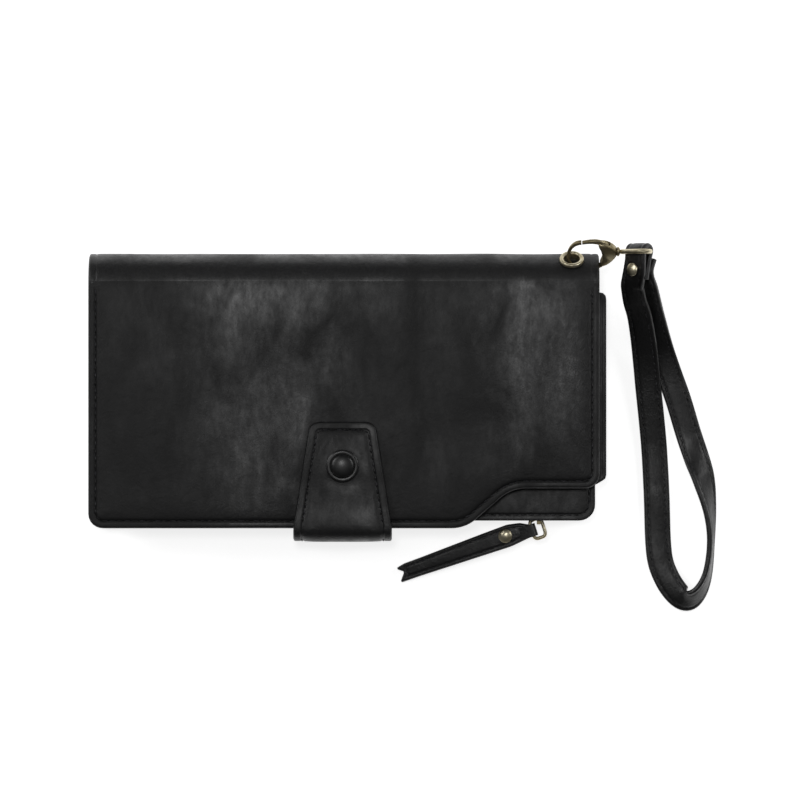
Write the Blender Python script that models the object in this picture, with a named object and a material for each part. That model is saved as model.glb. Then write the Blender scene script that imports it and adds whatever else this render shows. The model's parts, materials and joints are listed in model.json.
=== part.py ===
"""Long bifold clutch wallet with a zipped pocket, snap closure tab and clip-on wrist strap.

The wallet lies on its back cover. X runs along its width, Y towards the rounded spine and Z up.
The origin is on the outer face of the back cover. Lengths below are in millimetres and every
point goes through mm(), which gives metres.
"""
import math

import bmesh
import bpy
from mathutils import Vector

# ---- driving dimensions, millimetres ----
HALF_WIDTH = 97.5            # half the length of the covers
BOTTOM_Y = -53.0             # open edge of the covers
SPINE_Y = 41.0               # line where the flat covers meet the rounded spine
THICKNESS = 23.0             # closed wallet, back face to front face
CORNER = 5.5                 # corner radius of the covers
LEATHER = 1.1                # cover leather
GAP = 0.3                    # air left between stacked layers
STEP_Y = -50.0               # edge of the back cover under the zipped pocket
POCKET_EDGE_Y = -50.2        # lower edge of the zipped pocket
POCKET_RIGHT = 97.0          # right edge of the zipped pocket
POCKET_LOW = 7.9             # underside of the zipped pocket
POCKET_HIGH = 15.1           # top of the zipped pocket
POCKET_WALL = 0.8
ZIP_Y = -46.8                # centre plane of the zip tape
ZIP_LEFT, ZIP_RIGHT = -90.0, 88.0
SLIDER_X = 75.0              # slider at rest, zip closed
LEAF_LOW = 15.6              # underside of the card leaf
TAB_LOW = 24.9               # underside of the closure tab
TAB_HIGH = 26.9
TAB_HINGE = Vector((0.0, -54.5, 25.9))
SNAP = Vector((0.0, -29.1, 0.0))
SNAP_RADIUS = 6.25
EYELET_X = 87.9
EYELET_TILT = math.radians(50)
EYELET_HOLE = 2.6
NECK_H = 15.8                # clasp neck, measured out from the spine's centre line
WIRE = 1.0                   # radius of the clasp wire
STRAP_WIDTH = 10.0
STRAP_THICKNESS = 2.2
STRAP_FOLD_RADIUS = 2.25     # centre line of the fold round the bar
STRAP_FOLD_WIDTH = 9.4       # the strap is pared narrower where it folds
STRAP_BAR = Vector((113.8, 53.1, 20.6))
STRAP_BANK = math.radians(42)
PULL_BAR = Vector((72.72, -54.05, 11.0))
PULL_DIRECTION = Vector((-0.949, -0.314, 0.0))
PULL_LENGTH = 55.0
PULL_DROP = 8.2              # the pull slopes down to the table

BLACK_LEATHER = ("black_leather", (0.012, 0.012, 0.013), 0.35, 0.0)
LINING = ("black_lining", (0.02, 0.02, 0.022), 0.8, 0.0)
BOARD = ("grey_board", (0.18, 0.17, 0.16), 0.9, 0.0)
BRASS = ("antique_brass", (0.35, 0.29, 0.17), 0.35, 1.0)
TAPE = ("zip_tape", (0.015, 0.015, 0.017), 0.85, 0.0)
WINDOW = ("clear_window", (0.7, 0.72, 0.74), 0.1, 0.0)
CAP_PAINT = ("black_enamel", (0.01, 0.01, 0.01), 0.15, 0.0)

SPINE_AXIS = Vector((0.0, SPINE_Y, THICKNESS / 2))
EYELET_OUT = Vector((0.0, math.sin(EYELET_TILT), math.cos(EYELET_TILT)))
CLASP_SIDE = Vector((0.0, -math.cos(EYELET_TILT), math.sin(EYELET_TILT)))


def mm(*values):
    return Vector(values) * 0.001 if len(values) == 3 else Vector(values[0]) * 0.001


def material(finish):
    name, colour, roughness, metallic = finish
    found = bpy.data.materials.get(name)
    if found:
        return found
    made = bpy.data.materials.new(name)
    made.use_nodes = True
    shader = made.node_tree.nodes["Principled BSDF"]
    shader.inputs["Base Color"].default_value = (*colour, 1.0)
    shader.inputs["Roughness"].default_value = roughness
    shader.inputs["Metallic"].default_value = metallic
    return made


def new_object(name, mesh_data, finish, origin=(0, 0, 0), smooth=False):
    """Puts a bmesh in the scene, with its origin on the joint axis that it turns about."""
    bmesh.ops.recalc_face_normals(mesh_data, faces=mesh_data.faces)
    bmesh.ops.translate(mesh_data, verts=mesh_data.verts, vec=-mm(origin))
    mesh = bpy.data.meshes.new(name)
    mesh_data.to_mesh(mesh)
    mesh_data.free()
    mesh.materials.append(material(finish))
    if smooth:
        mesh.shade_smooth()
        mesh.set_sharp_from_angle(angle=math.radians(35))
    made = bpy.data.objects.new(name, mesh)
    made.location = mm(origin)
    bpy.context.collection.objects.link(made)
    return made


def loft(name, rings, finish, closed=False, origin=(0, 0, 0), smooth=False):
    """Joins rings of points, in millimetres, into one closed body."""
    shape = bmesh.new()
    rows = [[shape.verts.new(mm(point)) for point in ring] for ring in rings]
    count = len(rows[0])
    pairs = zip(rows, rows[1:] + rows[:1]) if closed else zip(rows, rows[1:])
    for first, second in pairs:
        for i in range(count):
            j = (i + 1) % count
            shape.faces.new((first[i], first[j], second[j], second[i]))
    if not closed:
        shape.faces.new(rows[0])
        shape.faces.new(rows[-1])
    return new_object(name, shape, finish, origin, smooth)


def slab(name, outline, low, high, finish, origin=(0, 0, 0)):
    """Flat sheet with an outline in X and Y, from height low to height high."""
    rings = [[(x, y, z) for x, y in outline] for z in (low, high)]
    return loft(name, rings, finish, origin=origin)


def bar_along_x(name, section, left, right, finish, origin=(0, 0, 0)):
    """Straight piece with a section in Y and Z, from X left to X right."""
    rings = [[(x, y, z) for y, z in section] for x in (left, right)]
    return loft(name, rings, finish, origin=origin)


def box_outline(left, low, right, high):
    return [(left, low), (right, low), (right, high), (left, high)]


def rounded(corners, steps=5):
    """Outline from (x, y, radius) corners, each turned into an arc."""
    outline = []
    for i, (x, y, radius) in enumerate(corners):
        here = Vector((x, y))
        back = (Vector(corners[i - 1][:2]) - here).normalized()
        ahead = (Vector(corners[(i + 1) % len(corners)][:2]) - here).normalized()
        if radius == 0:
            outline.append((x, y))
            continue
        half = back.angle(ahead) / 2
        centre = here + (back + ahead).normalized() * (radius / math.sin(half))
        start = here + back * (radius / math.tan(half)) - centre
        end = here + ahead * (radius / math.tan(half)) - centre
        for step in range(steps + 1):
            spoke = start.lerp(end, step / steps).normalized() * radius
            outline.append(tuple(centre + spoke))
    return outline


def turned(name, profile, centre, axis, finish, segments=20, origin=(0, 0, 0)):
    """Turns a closed (radius, height) outline about an axis. A radius of 0 closes on the axis."""
    axis = Vector(axis).normalized()
    across = axis.orthogonal().normalized()
    other = axis.cross(across)
    shape = bmesh.new()
    centre = Vector(centre)
    columns = []
    poles = {}
    for s in range(segments):
        angle = math.tau * s / segments
        spoke = across * math.cos(angle) + other * math.sin(angle)
        column = []
        for k, (radius, height) in enumerate(profile):
            point = centre + axis * height + spoke * radius
            if radius == 0:
                if k not in poles:
                    poles[k] = shape.verts.new(mm(point))
                column.append(poles[k])
            else:
                column.append(shape.verts.new(mm(point)))
        columns.append(column)
    count = len(profile)
    for s in range(segments):
        first, second = columns[s], columns[(s + 1) % segments]
        for i in range(count):
            j = (i + 1) % count
            corners = [first[i], first[j], second[j], second[i]]
            unique = list(dict.fromkeys(corners))
            if len(unique) > 2:
                shape.faces.new(unique)
    return new_object(name, shape, finish, origin, smooth=True)


def cylinder(name, start, end, radius, finish, segments=16, origin=(0, 0, 0)):
    start, end = Vector(start), Vector(end)
    profile = [(0, 0), (radius, 0), (radius, (end - start).length), (0, (end - start).length)]
    return turned(name, profile, start, end - start, finish, segments, origin)


def wire(name, path, radius, finish, closed=False, sides=8, origin=(0, 0, 0)):
    """Round wire along a path of points; the section is carried along without twisting."""
    points = [Vector(p) for p in path]
    count = len(points)
    rings = []
    normal = None
    for i, here in enumerate(points):
        before = points[i - 1] if closed or i else here
        after = points[(i + 1) % count] if closed or i < count - 1 else here
        along = (after - before).normalized()
        if normal is None:
            normal = along.orthogonal().normalized()
        normal = (normal - along * normal.dot(along)).normalized()
        side = along.cross(normal)
        angles = [math.tau * k / sides for k in range(sides)]
        rings.append([here + (normal * math.cos(a) + side * math.sin(a)) * radius for a in angles])
    return loft(name, rings, finish, closed, origin, smooth=True)


def cut(target, cutter):
    """Takes the cutter's shape out of the target; the cutter stays as a hidden guide."""
    step = target.modifiers.new("hole_" + cutter.name, "BOOLEAN")
    step.operation = "DIFFERENCE"
    step.solver = "EXACT"
    step.object = cutter
    cutter.hide_render = True
    cutter.display_type = "WIRE"


def smooth_path(points, per_span):
    """Catmull-Rom curve through points of any dimension."""
    padded = [points[0]] + list(points) + [points[-1]]
    curve = []
    for i in range(1, len(padded) - 2):
        a, b, c, d = (Vector(padded[i + k]) for k in (-1, 0, 1, 2))
        for step in range(per_span):
            t = step / per_span
            bend = (2 * a - 5 * b + 4 * c - d) * t * t + (3 * b - a - 3 * c + d) * t ** 3
            curve.append((2 * b + (c - a) * t + bend) / 2)
    curve.append(Vector(points[-1]))
    return curve


# ---- covers ----
def cover_outline(inset, top):
    """Front cover: the lower right corner is cut away in an S curve."""
    left, right, low = -HALF_WIDTH + inset, 98.5 - inset, BOTTOM_Y + inset
    return rounded([
        (left, low, max(CORNER - inset, 1.0)),
        (47.1 - inset * 0.4, low, 14.0),
        (64.7 - inset * 0.4, -37.7 + inset, 15.0),
        (right, -37.7 + inset, max(CORNER - inset, 1.0)),
        (right, top, 0),
        (left, top, 0),
    ])


def back_outline(inset, top):
    """Back cover: its edge steps in a little under the zipped pocket."""
    left, right = -HALF_WIDTH + inset, HALF_WIDTH - inset
    return rounded([
        (left, BOTTOM_Y + inset, max(CORNER - inset, 1.0)),
        (42.0, BOTTOM_Y + inset, 4.0),
        (48.0, STEP_Y + inset, 4.0),
        (right, STEP_Y + inset, max(CORNER - inset, 1.0)),
        (right, top, 0),
        (left, top, 0),
    ])


def spine_arc(radius, steps=12):
    """Half circle from the back cover's edge round to the front cover's edge."""
    angles = [math.pi * k / steps for k in range(steps + 1)]
    return [(SPINE_Y + radius * math.sin(a), THICKNESS / 2 - radius * math.cos(a)) for a in angles]


def eyelet_point(x, out, side=0.0):
    """Point at X and a distance out from the spine's centre line, through the eyelet's middle."""
    return Vector((x, 0, 0)) + SPINE_AXIS + EYELET_OUT * out + CLASP_SIDE * side


def eyelet_cutter(name, radius):
    return cylinder(name, eyelet_point(EYELET_X, 7.0), eyelet_point(EYELET_X, 14.0), radius, BRASS)


def make_back():
    radius = THICKNESS / 2
    slab("back_outer_leather", back_outline(0, SPINE_Y - 0.15), 0.0, LEATHER, BLACK_LEATHER)
    outer = [(y + GAP / 2, z) for y, z in spine_arc(radius)]
    inner = [(y + GAP / 2, z) for y, z in spine_arc(radius - LEATHER)]
    spine = bar_along_x("spine_leather", outer + inner[::-1], -HALF_WIDTH, HALF_WIDTH, BLACK_LEATHER)
    lining_outer = spine_arc(radius - LEATHER - GAP)[1:-1]
    lining_inner = spine_arc(radius - LEATHER - GAP - 0.4)[1:-1]
    lining = bar_along_x("spine_lining", lining_outer + lining_inner[::-1],
                         -HALF_WIDTH + 1, HALF_WIDTH - 1, LINING)
    for target in (spine, lining):
        cut(target, eyelet_cutter("hole_for_" + target.name, EYELET_HOLE + 0.65))
    slab("back_stiffener_board", back_outline(4.5, 38.0), 1.4, 2.4, BOARD)
    slab("back_lining", back_outline(1.5, 38.0), 2.7, 3.4, LINING)


def make_front():
    hinge = (0, SPINE_Y, THICKNESS)
    layers = [
        slab("front_outer_leather", cover_outline(0, SPINE_Y - 0.15), THICKNESS - LEATHER, THICKNESS,
             BLACK_LEATHER, hinge),
        slab("front_stiffener_board", cover_outline(4.0, 38.5), 20.8, 21.6, BOARD, hinge),
        slab("front_lining", cover_outline(1.5, 39.0), 20.1, 20.5, LINING, hinge),
    ]
    for layer in layers:
        hole = cylinder("snap_hole_in_" + layer.name, SNAP + Vector((0, 0, 18)),
                        SNAP + Vector((0, 0, 24)), 1.5, BRASS, origin=hinge)
        cut(layer, hole)
    for row in range(4):
        low = -14.0 + 12.5 * row
        slab(f"front_card_pocket_{row + 1}", box_outline(-92, low, 30, low + 12.2), 19.4, 19.8,
             BLACK_LEATHER, hinge)
    turned("snap_stud", [(0, 23.15), (4.5, 23.15), (4.5, 23.7), (1.9, 23.7), (2.2, 24.3),
                         (1.6, 24.75), (0, 24.75)], SNAP, (0, 0, 1), BRASS, origin=hinge)
    turned("snap_stud_post", [(0, 19.45), (3.2, 19.45), (3.2, 19.8), (1.1, 19.8), (1.1, 22.9),
                              (0, 22.9)], SNAP, (0, 0, 1), BRASS, segments=12, origin=hinge)


def make_leaf():
    hinge = (0, 38.4, LEAF_LOW + 0.6)
    outline = rounded([(-90, -36.5, 3), (97, -36.5, 2), (101.3, -34.0, 2), (101.3, 37.6, 2.3),
                       (-90, 37.6, 0)])
    slab("card_leaf_panel", outline, LEAF_LOW, LEAF_LOW + 1.2, BLACK_LEATHER, hinge)
    for row in range(3):
        low = -33.0 + 12.5 * row
        slab(f"card_leaf_pocket_{row + 1}", box_outline(-86, low, -2, low + 12.2), LEAF_LOW + 1.5,
             LEAF_LOW + 2.1, BLACK_LEATHER, hinge)
    frame = slab("photo_window_frame", box_outline(4, -33, 92, 30), LEAF_LOW + 1.9, LEAF_LOW + 2.5,
                 BLACK_LEATHER, hinge)
    opening = slab("photo_window_cut", box_outline(14, -25, 82, 22), LEAF_LOW, LEAF_LOW + 4, LINING)
    cut(frame, opening)
    slab("photo_window", box_outline(6, -31, 90, 28), LEAF_LOW + 1.4, LEAF_LOW + 1.7, WINDOW, hinge)


def make_pocket():
    left = -94.0
    for name, low, high in (("zip_pocket_back", POCKET_LOW, POCKET_LOW + POCKET_WALL),
                            ("zip_pocket_front", POCKET_HIGH - POCKET_WALL, POCKET_HIGH)):
        outline = rounded([(left, POCKET_EDGE_Y, 4), (POCKET_RIGHT, POCKET_EDGE_Y, 6),
                           (POCKET_RIGHT, 36, 2), (left, 36, 2)])
        slab(name, outline, low, high, BLACK_LEATHER)
    inside_low = POCKET_LOW + POCKET_WALL + GAP
    inside_high = POCKET_HIGH - POCKET_WALL - GAP
    for name, x in (("gusset_left", left + 1.0), ("gusset_right", POCKET_RIGHT - 1.6)):
        slab(name, box_outline(x, -42, x + 0.6, 33), inside_low, inside_high, LINING)
    slab("pocket_fold", box_outline(left + 2, 34.2, POCKET_RIGHT - 2, 35.2), inside_low, inside_high,
         LINING)


def make_zip():
    middle = (POCKET_LOW + POCKET_HIGH) / 2
    for side, name in ((-1, "back"), (1, "front")):
        tape = [middle + side * 1.5, middle + side * 2.4]
        slab(f"zip_tape_{name}", box_outline(ZIP_LEFT, ZIP_Y - 0.3, ZIP_RIGHT, ZIP_Y + 0.3),
             min(tape), max(tape), TAPE)
        make_teeth(f"zip_teeth_{name}", middle, side)
    for name, x in (("zip_stop_left", ZIP_LEFT - 1.8), ("zip_stop_right", ZIP_RIGHT + 0.4)):
        slab(name, box_outline(x, ZIP_Y - 1.1, x + 1.4, ZIP_Y + 1.1), middle - 2.0, middle + 2.0, BRASS)


def make_teeth(name, middle, side):
    """One row of teeth as a comb, with its points towards the other row."""
    pitch = 3.0
    root, foot, tip = side * 1.3, side * 0.9, side * 0.55
    outline = [(ZIP_LEFT, middle + root)]
    x = ZIP_LEFT
    while x + pitch <= ZIP_RIGHT:
        outline.append((x, middle + foot))
        outline.append((x + 0.7, middle + tip))
        outline.append((x + 1.7, middle + tip))
        outline.append((x + 2.4, middle + foot))
        x += pitch
    outline.append((x, middle + foot))
    outline.append((x, middle + root))
    rings = [[(px, y, pz) for px, pz in outline] for y in (ZIP_Y - 0.8, ZIP_Y + 0.8)]
    loft(name, rings, BRASS)


def make_slider():
    middle = (POCKET_LOW + POCKET_HIGH) / 2
    half, neck = 2.4, 0.3
    inner, outer = ZIP_Y + 1.1, ZIP_Y - 1.1
    section = [(outer - 0.8, middle - half), (outer, middle - half), (outer, middle - neck),
               (inner, middle - neck), (inner, middle - half), (inner + 0.8, middle - half),
               (inner + 0.8, middle + half), (inner, middle + half), (inner, middle + neck),
               (outer, middle + neck), (outer, middle + half), (outer - 0.8, middle + half)]
    origin = (SLIDER_X, ZIP_Y, middle)
    bar_along_x("zip_slider_body", section, SLIDER_X - 5, SLIDER_X + 4, BRASS, origin)
    foot = outer - 1.1
    arch = [(foot, middle - 2.2), (foot, middle - 1.5), (foot - 2.0, middle - 1.5),
            (foot - 2.0, middle + 1.5), (foot, middle + 1.5), (foot, middle + 2.2),
            (foot - 2.7, middle + 2.2), (foot - 2.7, middle - 2.2)]
    bar_along_x("zip_slider_bridge", arch, SLIDER_X - 0.3, SLIDER_X + 1.1, BRASS, origin)


def pull_axes():
    along = PULL_DIRECTION.normalized()
    across = Vector((along.y, -along.x, 0))
    return along, across


def make_pull_ring():
    along, across = pull_axes()
    centre = PULL_BAR - along * 2.4
    path = []
    for k in range(24):
        angle = math.tau * k / 24
        c, s = math.cos(angle), math.sin(angle)
        reach = math.copysign(abs(c) ** 0.5, c)
        rise = math.copysign(abs(s) ** 0.5, s)
        path.append(centre + along * 2.4 * reach + across * 3.7 * rise)
    wire("zip_pull_ring", path, 0.7, BRASS, closed=True,
         origin=(SLIDER_X, centre.y + 3.5, PULL_BAR.z))


def make_pull_leather():
    """Two layers folded round the ring, ending in a swallow tail, with a rivet through them."""
    along, across = pull_axes()
    fall = math.asin(PULL_DROP / PULL_LENGTH)
    direction = along * math.cos(fall) - Vector((0, 0, 1)) * math.sin(fall)
    up = direction.cross(across).normalized()
    if up.z < 0:
        up = -up
    half, wall = 4.0, 1.0
    fold = []
    for k in range(9):
        angle = math.pi / 2 + math.pi * k / 8
        fold.append((1.0 * math.cos(angle), 1.0 * math.sin(angle)))
    outer = [(x * 2.0, z * 2.0) for x, z in fold]
    # the two layers close up behind the ring wire
    loop = [(5.0, 1.15)] + outer + [(5.0, -1.15), (5.0, -0.15)] + fold[::-1] + [(5.0, 0.15)]
    rings = [[PULL_BAR + direction * u + up * v + across * w for u, v in loop] for w in (-2.4, 2.4)]
    loft("zip_pull_fold", rings, BLACK_LEATHER, origin=PULL_BAR)
    start, tail, notch = 5.3, PULL_LENGTH, PULL_LENGTH - 4.6
    outline = [(start, -half), (tail - 2.0, -half - 0.3), (tail, -half + 0.8), (notch, 0.0),
               (tail, half - 0.8), (tail - 2.0, half + 0.3), (start, half)]
    rings = [[PULL_BAR + direction * u + up * v + across * w for u, w in outline]
             for v in (-1.0, 1.0)]
    strip = loft("zip_pull_leather", rings, BLACK_LEATHER, origin=PULL_BAR)
    spot = PULL_BAR + direction * 11.0
    hole = cylinder("pull_rivet_hole", spot - up * 4, spot + up * 4, 1.1, BRASS, origin=PULL_BAR)
    cut(strip, hole)
    turned("zip_pull_rivet", [(0, -1.9), (2.2, -1.9), (2.2, -1.3), (0.8, -1.3), (0.8, 1.3),
                              (2.65, 1.3), (2.2, 1.9), (1.2, 2.2), (0, 2.3)],
           spot, up, BRASS, segments=16, origin=PULL_BAR)


# ---- closure tab and snap ----
def tab_outline(extra, far, near):
    """Tapered tab: narrow at its rounded tip and wide at the fold."""
    def half(y):
        return 19.2 + extra - (y + 56.0) * 0.155
    return rounded([(-half(near), near, 0), (half(near), near, 0), (half(far), far, 4.5),
                    (-half(far), far, 4.5)])


def make_tab():
    leather = slab("closure_tab_leather", tab_outline(0, -12.1, -54.2), 25.8, TAB_HIGH,
                   BLACK_LEATHER, TAB_HINGE)
    lining = slab("closure_tab_lining", tab_outline(-1.0, -13.1, -54.2), TAB_LOW, 25.5, LINING,
                  TAB_HINGE)
    for layer in (leather, lining):
        hole = cylinder("cap_hole_in_" + layer.name, SNAP + Vector((0, 0, 24)),
                        SNAP + Vector((0, 0, 28)), 3.0, BRASS, origin=TAB_HINGE)
        cut(layer, hole)
    turned("snap_cap", [(0, 25.4), (2.6, 25.4), (2.6, 27.2), (SNAP_RADIUS, 27.2), (6.1, 28.0),
                        (5.0, 28.9), (3.0, 29.5), (0, 29.7)], SNAP, (0, 0, 1), CAP_PAINT,
           segments=28, origin=TAB_HINGE)
    turned("snap_socket", [(2.5, 23.95), (5.0, 23.95), (5.0, 24.6), (2.5, 24.6)], SNAP, (0, 0, 1),
           BRASS, origin=TAB_HINGE)
    outer, inner, thick = [], [], 1.2
    for k in range(7):
        angle = math.pi / 2 * k / 6
        outer.append((-54.5 - 3.0 * math.sin(angle), 23.9 + 3.0 * math.cos(angle)))
        inner.append((-54.5 - (3.0 - thick) * math.sin(angle), 23.9 + (3.0 - thick) * math.cos(angle)))
    for k in range(7):
        angle = math.pi / 2 * k / 6
        outer.append((-54.5 - 3.0 * math.cos(angle), 4.4 - 3.0 * math.sin(angle)))
        inner.append((-54.5 - (3.0 - thick) * math.cos(angle), 4.4 - (3.0 - thick) * math.sin(angle)))
    outer.append((-51.0, 1.4))
    inner.append((-51.0, 2.4))
    inner[-2] = (-54.5, 2.4)
    bar_along_x("closure_tab_fold", outer + inner[::-1], -18.9, 18.9, BLACK_LEATHER)


# ---- eyelet, clasp and wrist strap ----
def make_eyelet():
    profile = [(EYELET_HOLE, 8.4), (EYELET_HOLE + 0.4, 8.4), (EYELET_HOLE + 0.4, 11.75), (4.7, 11.75),
               (4.7, 12.1), (4.0, 12.5), (3.1, 12.4), (EYELET_HOLE, 12.0)]
    turned("eyelet", profile, Vector((EYELET_X, 0, 0)) + SPINE_AXIS, EYELET_OUT, BRASS)
    turned("eyelet_washer", [(3.3, 8.35), (4.2, 8.35), (4.2, 8.75), (3.3, 8.75)],
           Vector((EYELET_X, 0, 0)) + SPINE_AXIS, EYELET_OUT, BRASS)


def make_clasp():
    pivot = eyelet_point(EYELET_X, 10.35)
    centre_x, reach, rise, middle = 91.3, 4.2, 6.25, 13.35
    hook = [(99.6, 7.6), (97.0, 7.1), (94.0, 7.1)]
    for k in range(11):
        angle = math.radians(-90 - 155 * k / 10)
        hook.append((centre_x + reach * math.cos(angle), middle + rise * math.sin(angle)))
    path = [eyelet_point(x, h) for x, h in hook]
    wire("clasp_hook", path, WIRE, BRASS, origin=pivot)
    outline = [(99.9, 5.9), (101.0, 6.4), (104.9, 13.9), (104.9, 17.7), (101.9, 20.3), (99.2, 20.9),
               (99.2, 16.4), (100.6, 13.5), (100.2, 9.0)]
    rings = [[eyelet_point(x, h, m) for x, h in outline] for m in (-2.1, 2.1)]
    body = loft("clasp_body", rings, BRASS, origin=pivot)
    slot_outline = [(98.5, 16.6), (102.4, 16.6), (102.4, 22.0), (98.5, 22.0)]
    rings = [[eyelet_point(x, h, m) for x, h in slot_outline] for m in (-1.1, 1.1)]
    cut(body, loft("clasp_slot", rings, BRASS))
    pin_spot = (100.6, 18.9)
    cut(body, cylinder("pin_hole_in_body", eyelet_point(*pin_spot, -3), eyelet_point(*pin_spot, 3),
                       0.62, BRASS, 12))
    cut(body, cylinder("swivel_bore", eyelet_point(103.0, NECK_H), eyelet_point(106.5, NECK_H),
                       1.1, BRASS, 12))
    gate_origin = eyelet_point(*pin_spot)
    gate_outline = [(91.2, 18.9), (99.4, 17.9), (100.6, 17.4), (101.9, 18.0), (102.0, 19.6),
                    (101.2, 21.6), (100.2, 21.9), (99.2, 20.2), (91.2, 20.2)]
    rings = [[eyelet_point(x, h, m) for x, h in gate_outline] for m in (-0.85, 0.85)]
    gate = loft("clasp_gate", rings, BRASS, origin=gate_origin)
    cut(gate, cylinder("pin_hole_in_gate", eyelet_point(*pin_spot, -3), eyelet_point(*pin_spot, 3),
                       0.62, BRASS, 12))
    cylinder("clasp_gate_pin", eyelet_point(*pin_spot, -2.1), eyelet_point(*pin_spot, 2.1), 0.5,
             BRASS, 12, origin=pivot)
    wire("clasp_gate_spring", [eyelet_point(x, 16.95) for x in (99.4, 100.6, 102.1)], 0.2, BRASS,
         sides=6, origin=pivot)


def bar_direction():
    return Vector((math.cos(STRAP_BANK), 0, math.sin(STRAP_BANK)))


def make_swivel():
    """Swivel post and knob, and a D shaped eye whose straight bar carries the strap."""
    neck = eyelet_point(0, NECK_H)
    turned("swivel_post", [(0, 103.4), (0.9, 103.4), (0.9, 105.1), (1.7, 105.1), (1.8, 105.6),
                           (1.5, 105.95), (0, 105.95)], Vector((0, neck.y, neck.z)), (1, 0, 0), BRASS,
           segments=14, origin=eyelet_point(106.0, NECK_H))
    w = bar_direction()
    lean = Vector((-w.z, 0, w.x))
    half, depth = 6.25, 5.0
    flat = rounded([(-half, 0, 0.9), (half, 0, 1.6), (half, depth, 2.4), (-4.0, depth + 0.4, 1.4),
                    (-half, 3.2, 1.0)], 4)
    path = [STRAP_BAR + w * u + lean * v for u, v in flat]
    wire("swivel_eye", path, 0.95, BRASS, closed=True, origin=eyelet_point(106.0, NECK_H))


# Route of the strap from the rivet round the loop and back: x, y, lift above rest, bank in degrees
STRAP_ROUTE = [
    (111.2, 40.2, 14.8, 40), (112.3, 34.5, 11.7, 36), (114.2, 28.4, 8.8, 30),
    (115.8, 19.9, 5.8, 20), (117.0, 10.3, 3.6, 10), (118.0, 0.4, 2.3, 4),
    (119.6, -14.6, 1.0, 0), (120.5, -25.3, 0.3, 0), (121.3, -41.0, 0.1, 0),
    (121.8, -57.5, 0.1, 0), (122.8, -66.3, 0.1, 0), (125.3, -72.8, 0.1, 4),
    (128.4, -77.6, 0.1, 14), (131.8, -80.6, 0.2, 30), (135.2, -80.4, 0.3, 48),
    (138.6, -76.6, 0.3, 64), (141.0, -69.6, 0.2, 76), (142.1, -58.0, 0.2, 80),
    (141.6, -46.7, 0.2, 66), (139.3, -34.5, 0.2, 34), (136.6, -25.9, 0.1, 10),
    (133.5, -16.5, 0.1, 0), (129.7, -3.8, 0.1, 0), (125.9, 6.9, 0.1, -2),
    (122.4, 17.2, 1.3, -10), (119.2, 28.7, 5.7, -26), (116.9, 38.3, 10.8, -38),
    (115.5, 43.0, 13.2, -42), (115.3, 46.6, 13.7, -42), (116.4, 50.6, 13.0, -42),
]


def bar_shifted(y):
    """The layers under the bar lean a little towards the wallet."""
    return Vector((STRAP_BAR.x - 0.14 * (STRAP_BAR.y - y), y, STRAP_BAR.z))


def strap_sections():
    """Centre and half-width direction all the way: tail, fold over the bar, loop and cut end."""
    w = bar_direction()
    lean = Vector((-w.z, 0, w.x))
    sections = []
    pared = w * (STRAP_FOLD_WIDTH / STRAP_WIDTH)
    for y, out, width in ((42.8, -1.25, w), (46.2, -1.25, w), (50.0, -1.7, pared)):
        sections.append((bar_shifted(y) + lean * out, width))
    for k in range(9):
        angle = math.radians(-80 + 160 * k / 8)
        spoke = Vector((0, math.cos(angle), 0)) + lean * math.sin(angle)
        sections.append((STRAP_BAR + spoke * STRAP_FOLD_RADIUS, pared))
    for y, out, width in ((50.0, 1.7, pared), (46.2, 1.25, w)):
        sections.append((bar_shifted(y) + lean * out, width))
    curve = smooth_path(STRAP_ROUTE, 2)
    for i, (x, y, lift, bank) in enumerate(curve):
        before, after = curve[max(i - 1, 0)], curve[min(i + 1, len(curve) - 1)]
        along = Vector((after[0] - before[0], after[1] - before[1], 0)).normalized()
        level = Vector((0, 0, 1)).cross(along)
        tilt = math.radians(bank)
        rest = abs(math.sin(tilt)) * STRAP_WIDTH / 2 + math.cos(tilt) * STRAP_THICKNESS / 2
        width = level * math.cos(tilt) + Vector((0, 0, math.sin(tilt)))
        sections.append((Vector((x, y, rest + lift)), width))
    return sections


def make_strap():
    sections = strap_sections()
    count = len(sections)
    rings = []
    for i, (centre, width) in enumerate(sections):
        along = sections[min(i + 1, count - 1)][0] - sections[max(i - 1, 0)][0]
        along.normalize()
        side = (width - along * width.dot(along)).normalized()
        face = along.cross(side) * STRAP_THICKNESS / 2
        side = side * width.length * STRAP_WIDTH / 2
        rings.append([centre - side - face, centre + side - face, centre + side + face,
                      centre - side + face])
    loft("wrist_strap", rings, BLACK_LEATHER, origin=STRAP_BAR)
    w = bar_direction()
    lean = Vector((-w.z, 0, w.x))
    spot = bar_shifted(46.2)
    for name, sign, out in (("strap_rivet_cap", 1, 2.7), ("strap_rivet_back", -1, 5.6)):
        turned(name, [(0, 0), (3.0, 0), (2.7, 0.6), (1.6, 1.1), (0, 1.2)], spot + lean * sign * out,
               lean * sign, BRASS, segments=18, origin=STRAP_BAR)


def main():
    for old in list(bpy.data.objects):
        bpy.data.objects.remove(old, do_unlink=True)
    make_back()
    make_front()
    make_leaf()
    make_pocket()
    make_zip()
    make_slider()
    make_pull_ring()
    make_pull_leather()
    make_tab()
    make_eyelet()
    make_clasp()
    make_swivel()
    make_strap()


main()
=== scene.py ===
"""Looks of the clutch wallet: leather panels, stitches, hardware, materials, light and camera."""
import json
import math

import bmesh
import bpy
import numpy as np
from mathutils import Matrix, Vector, geometry, noise


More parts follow.
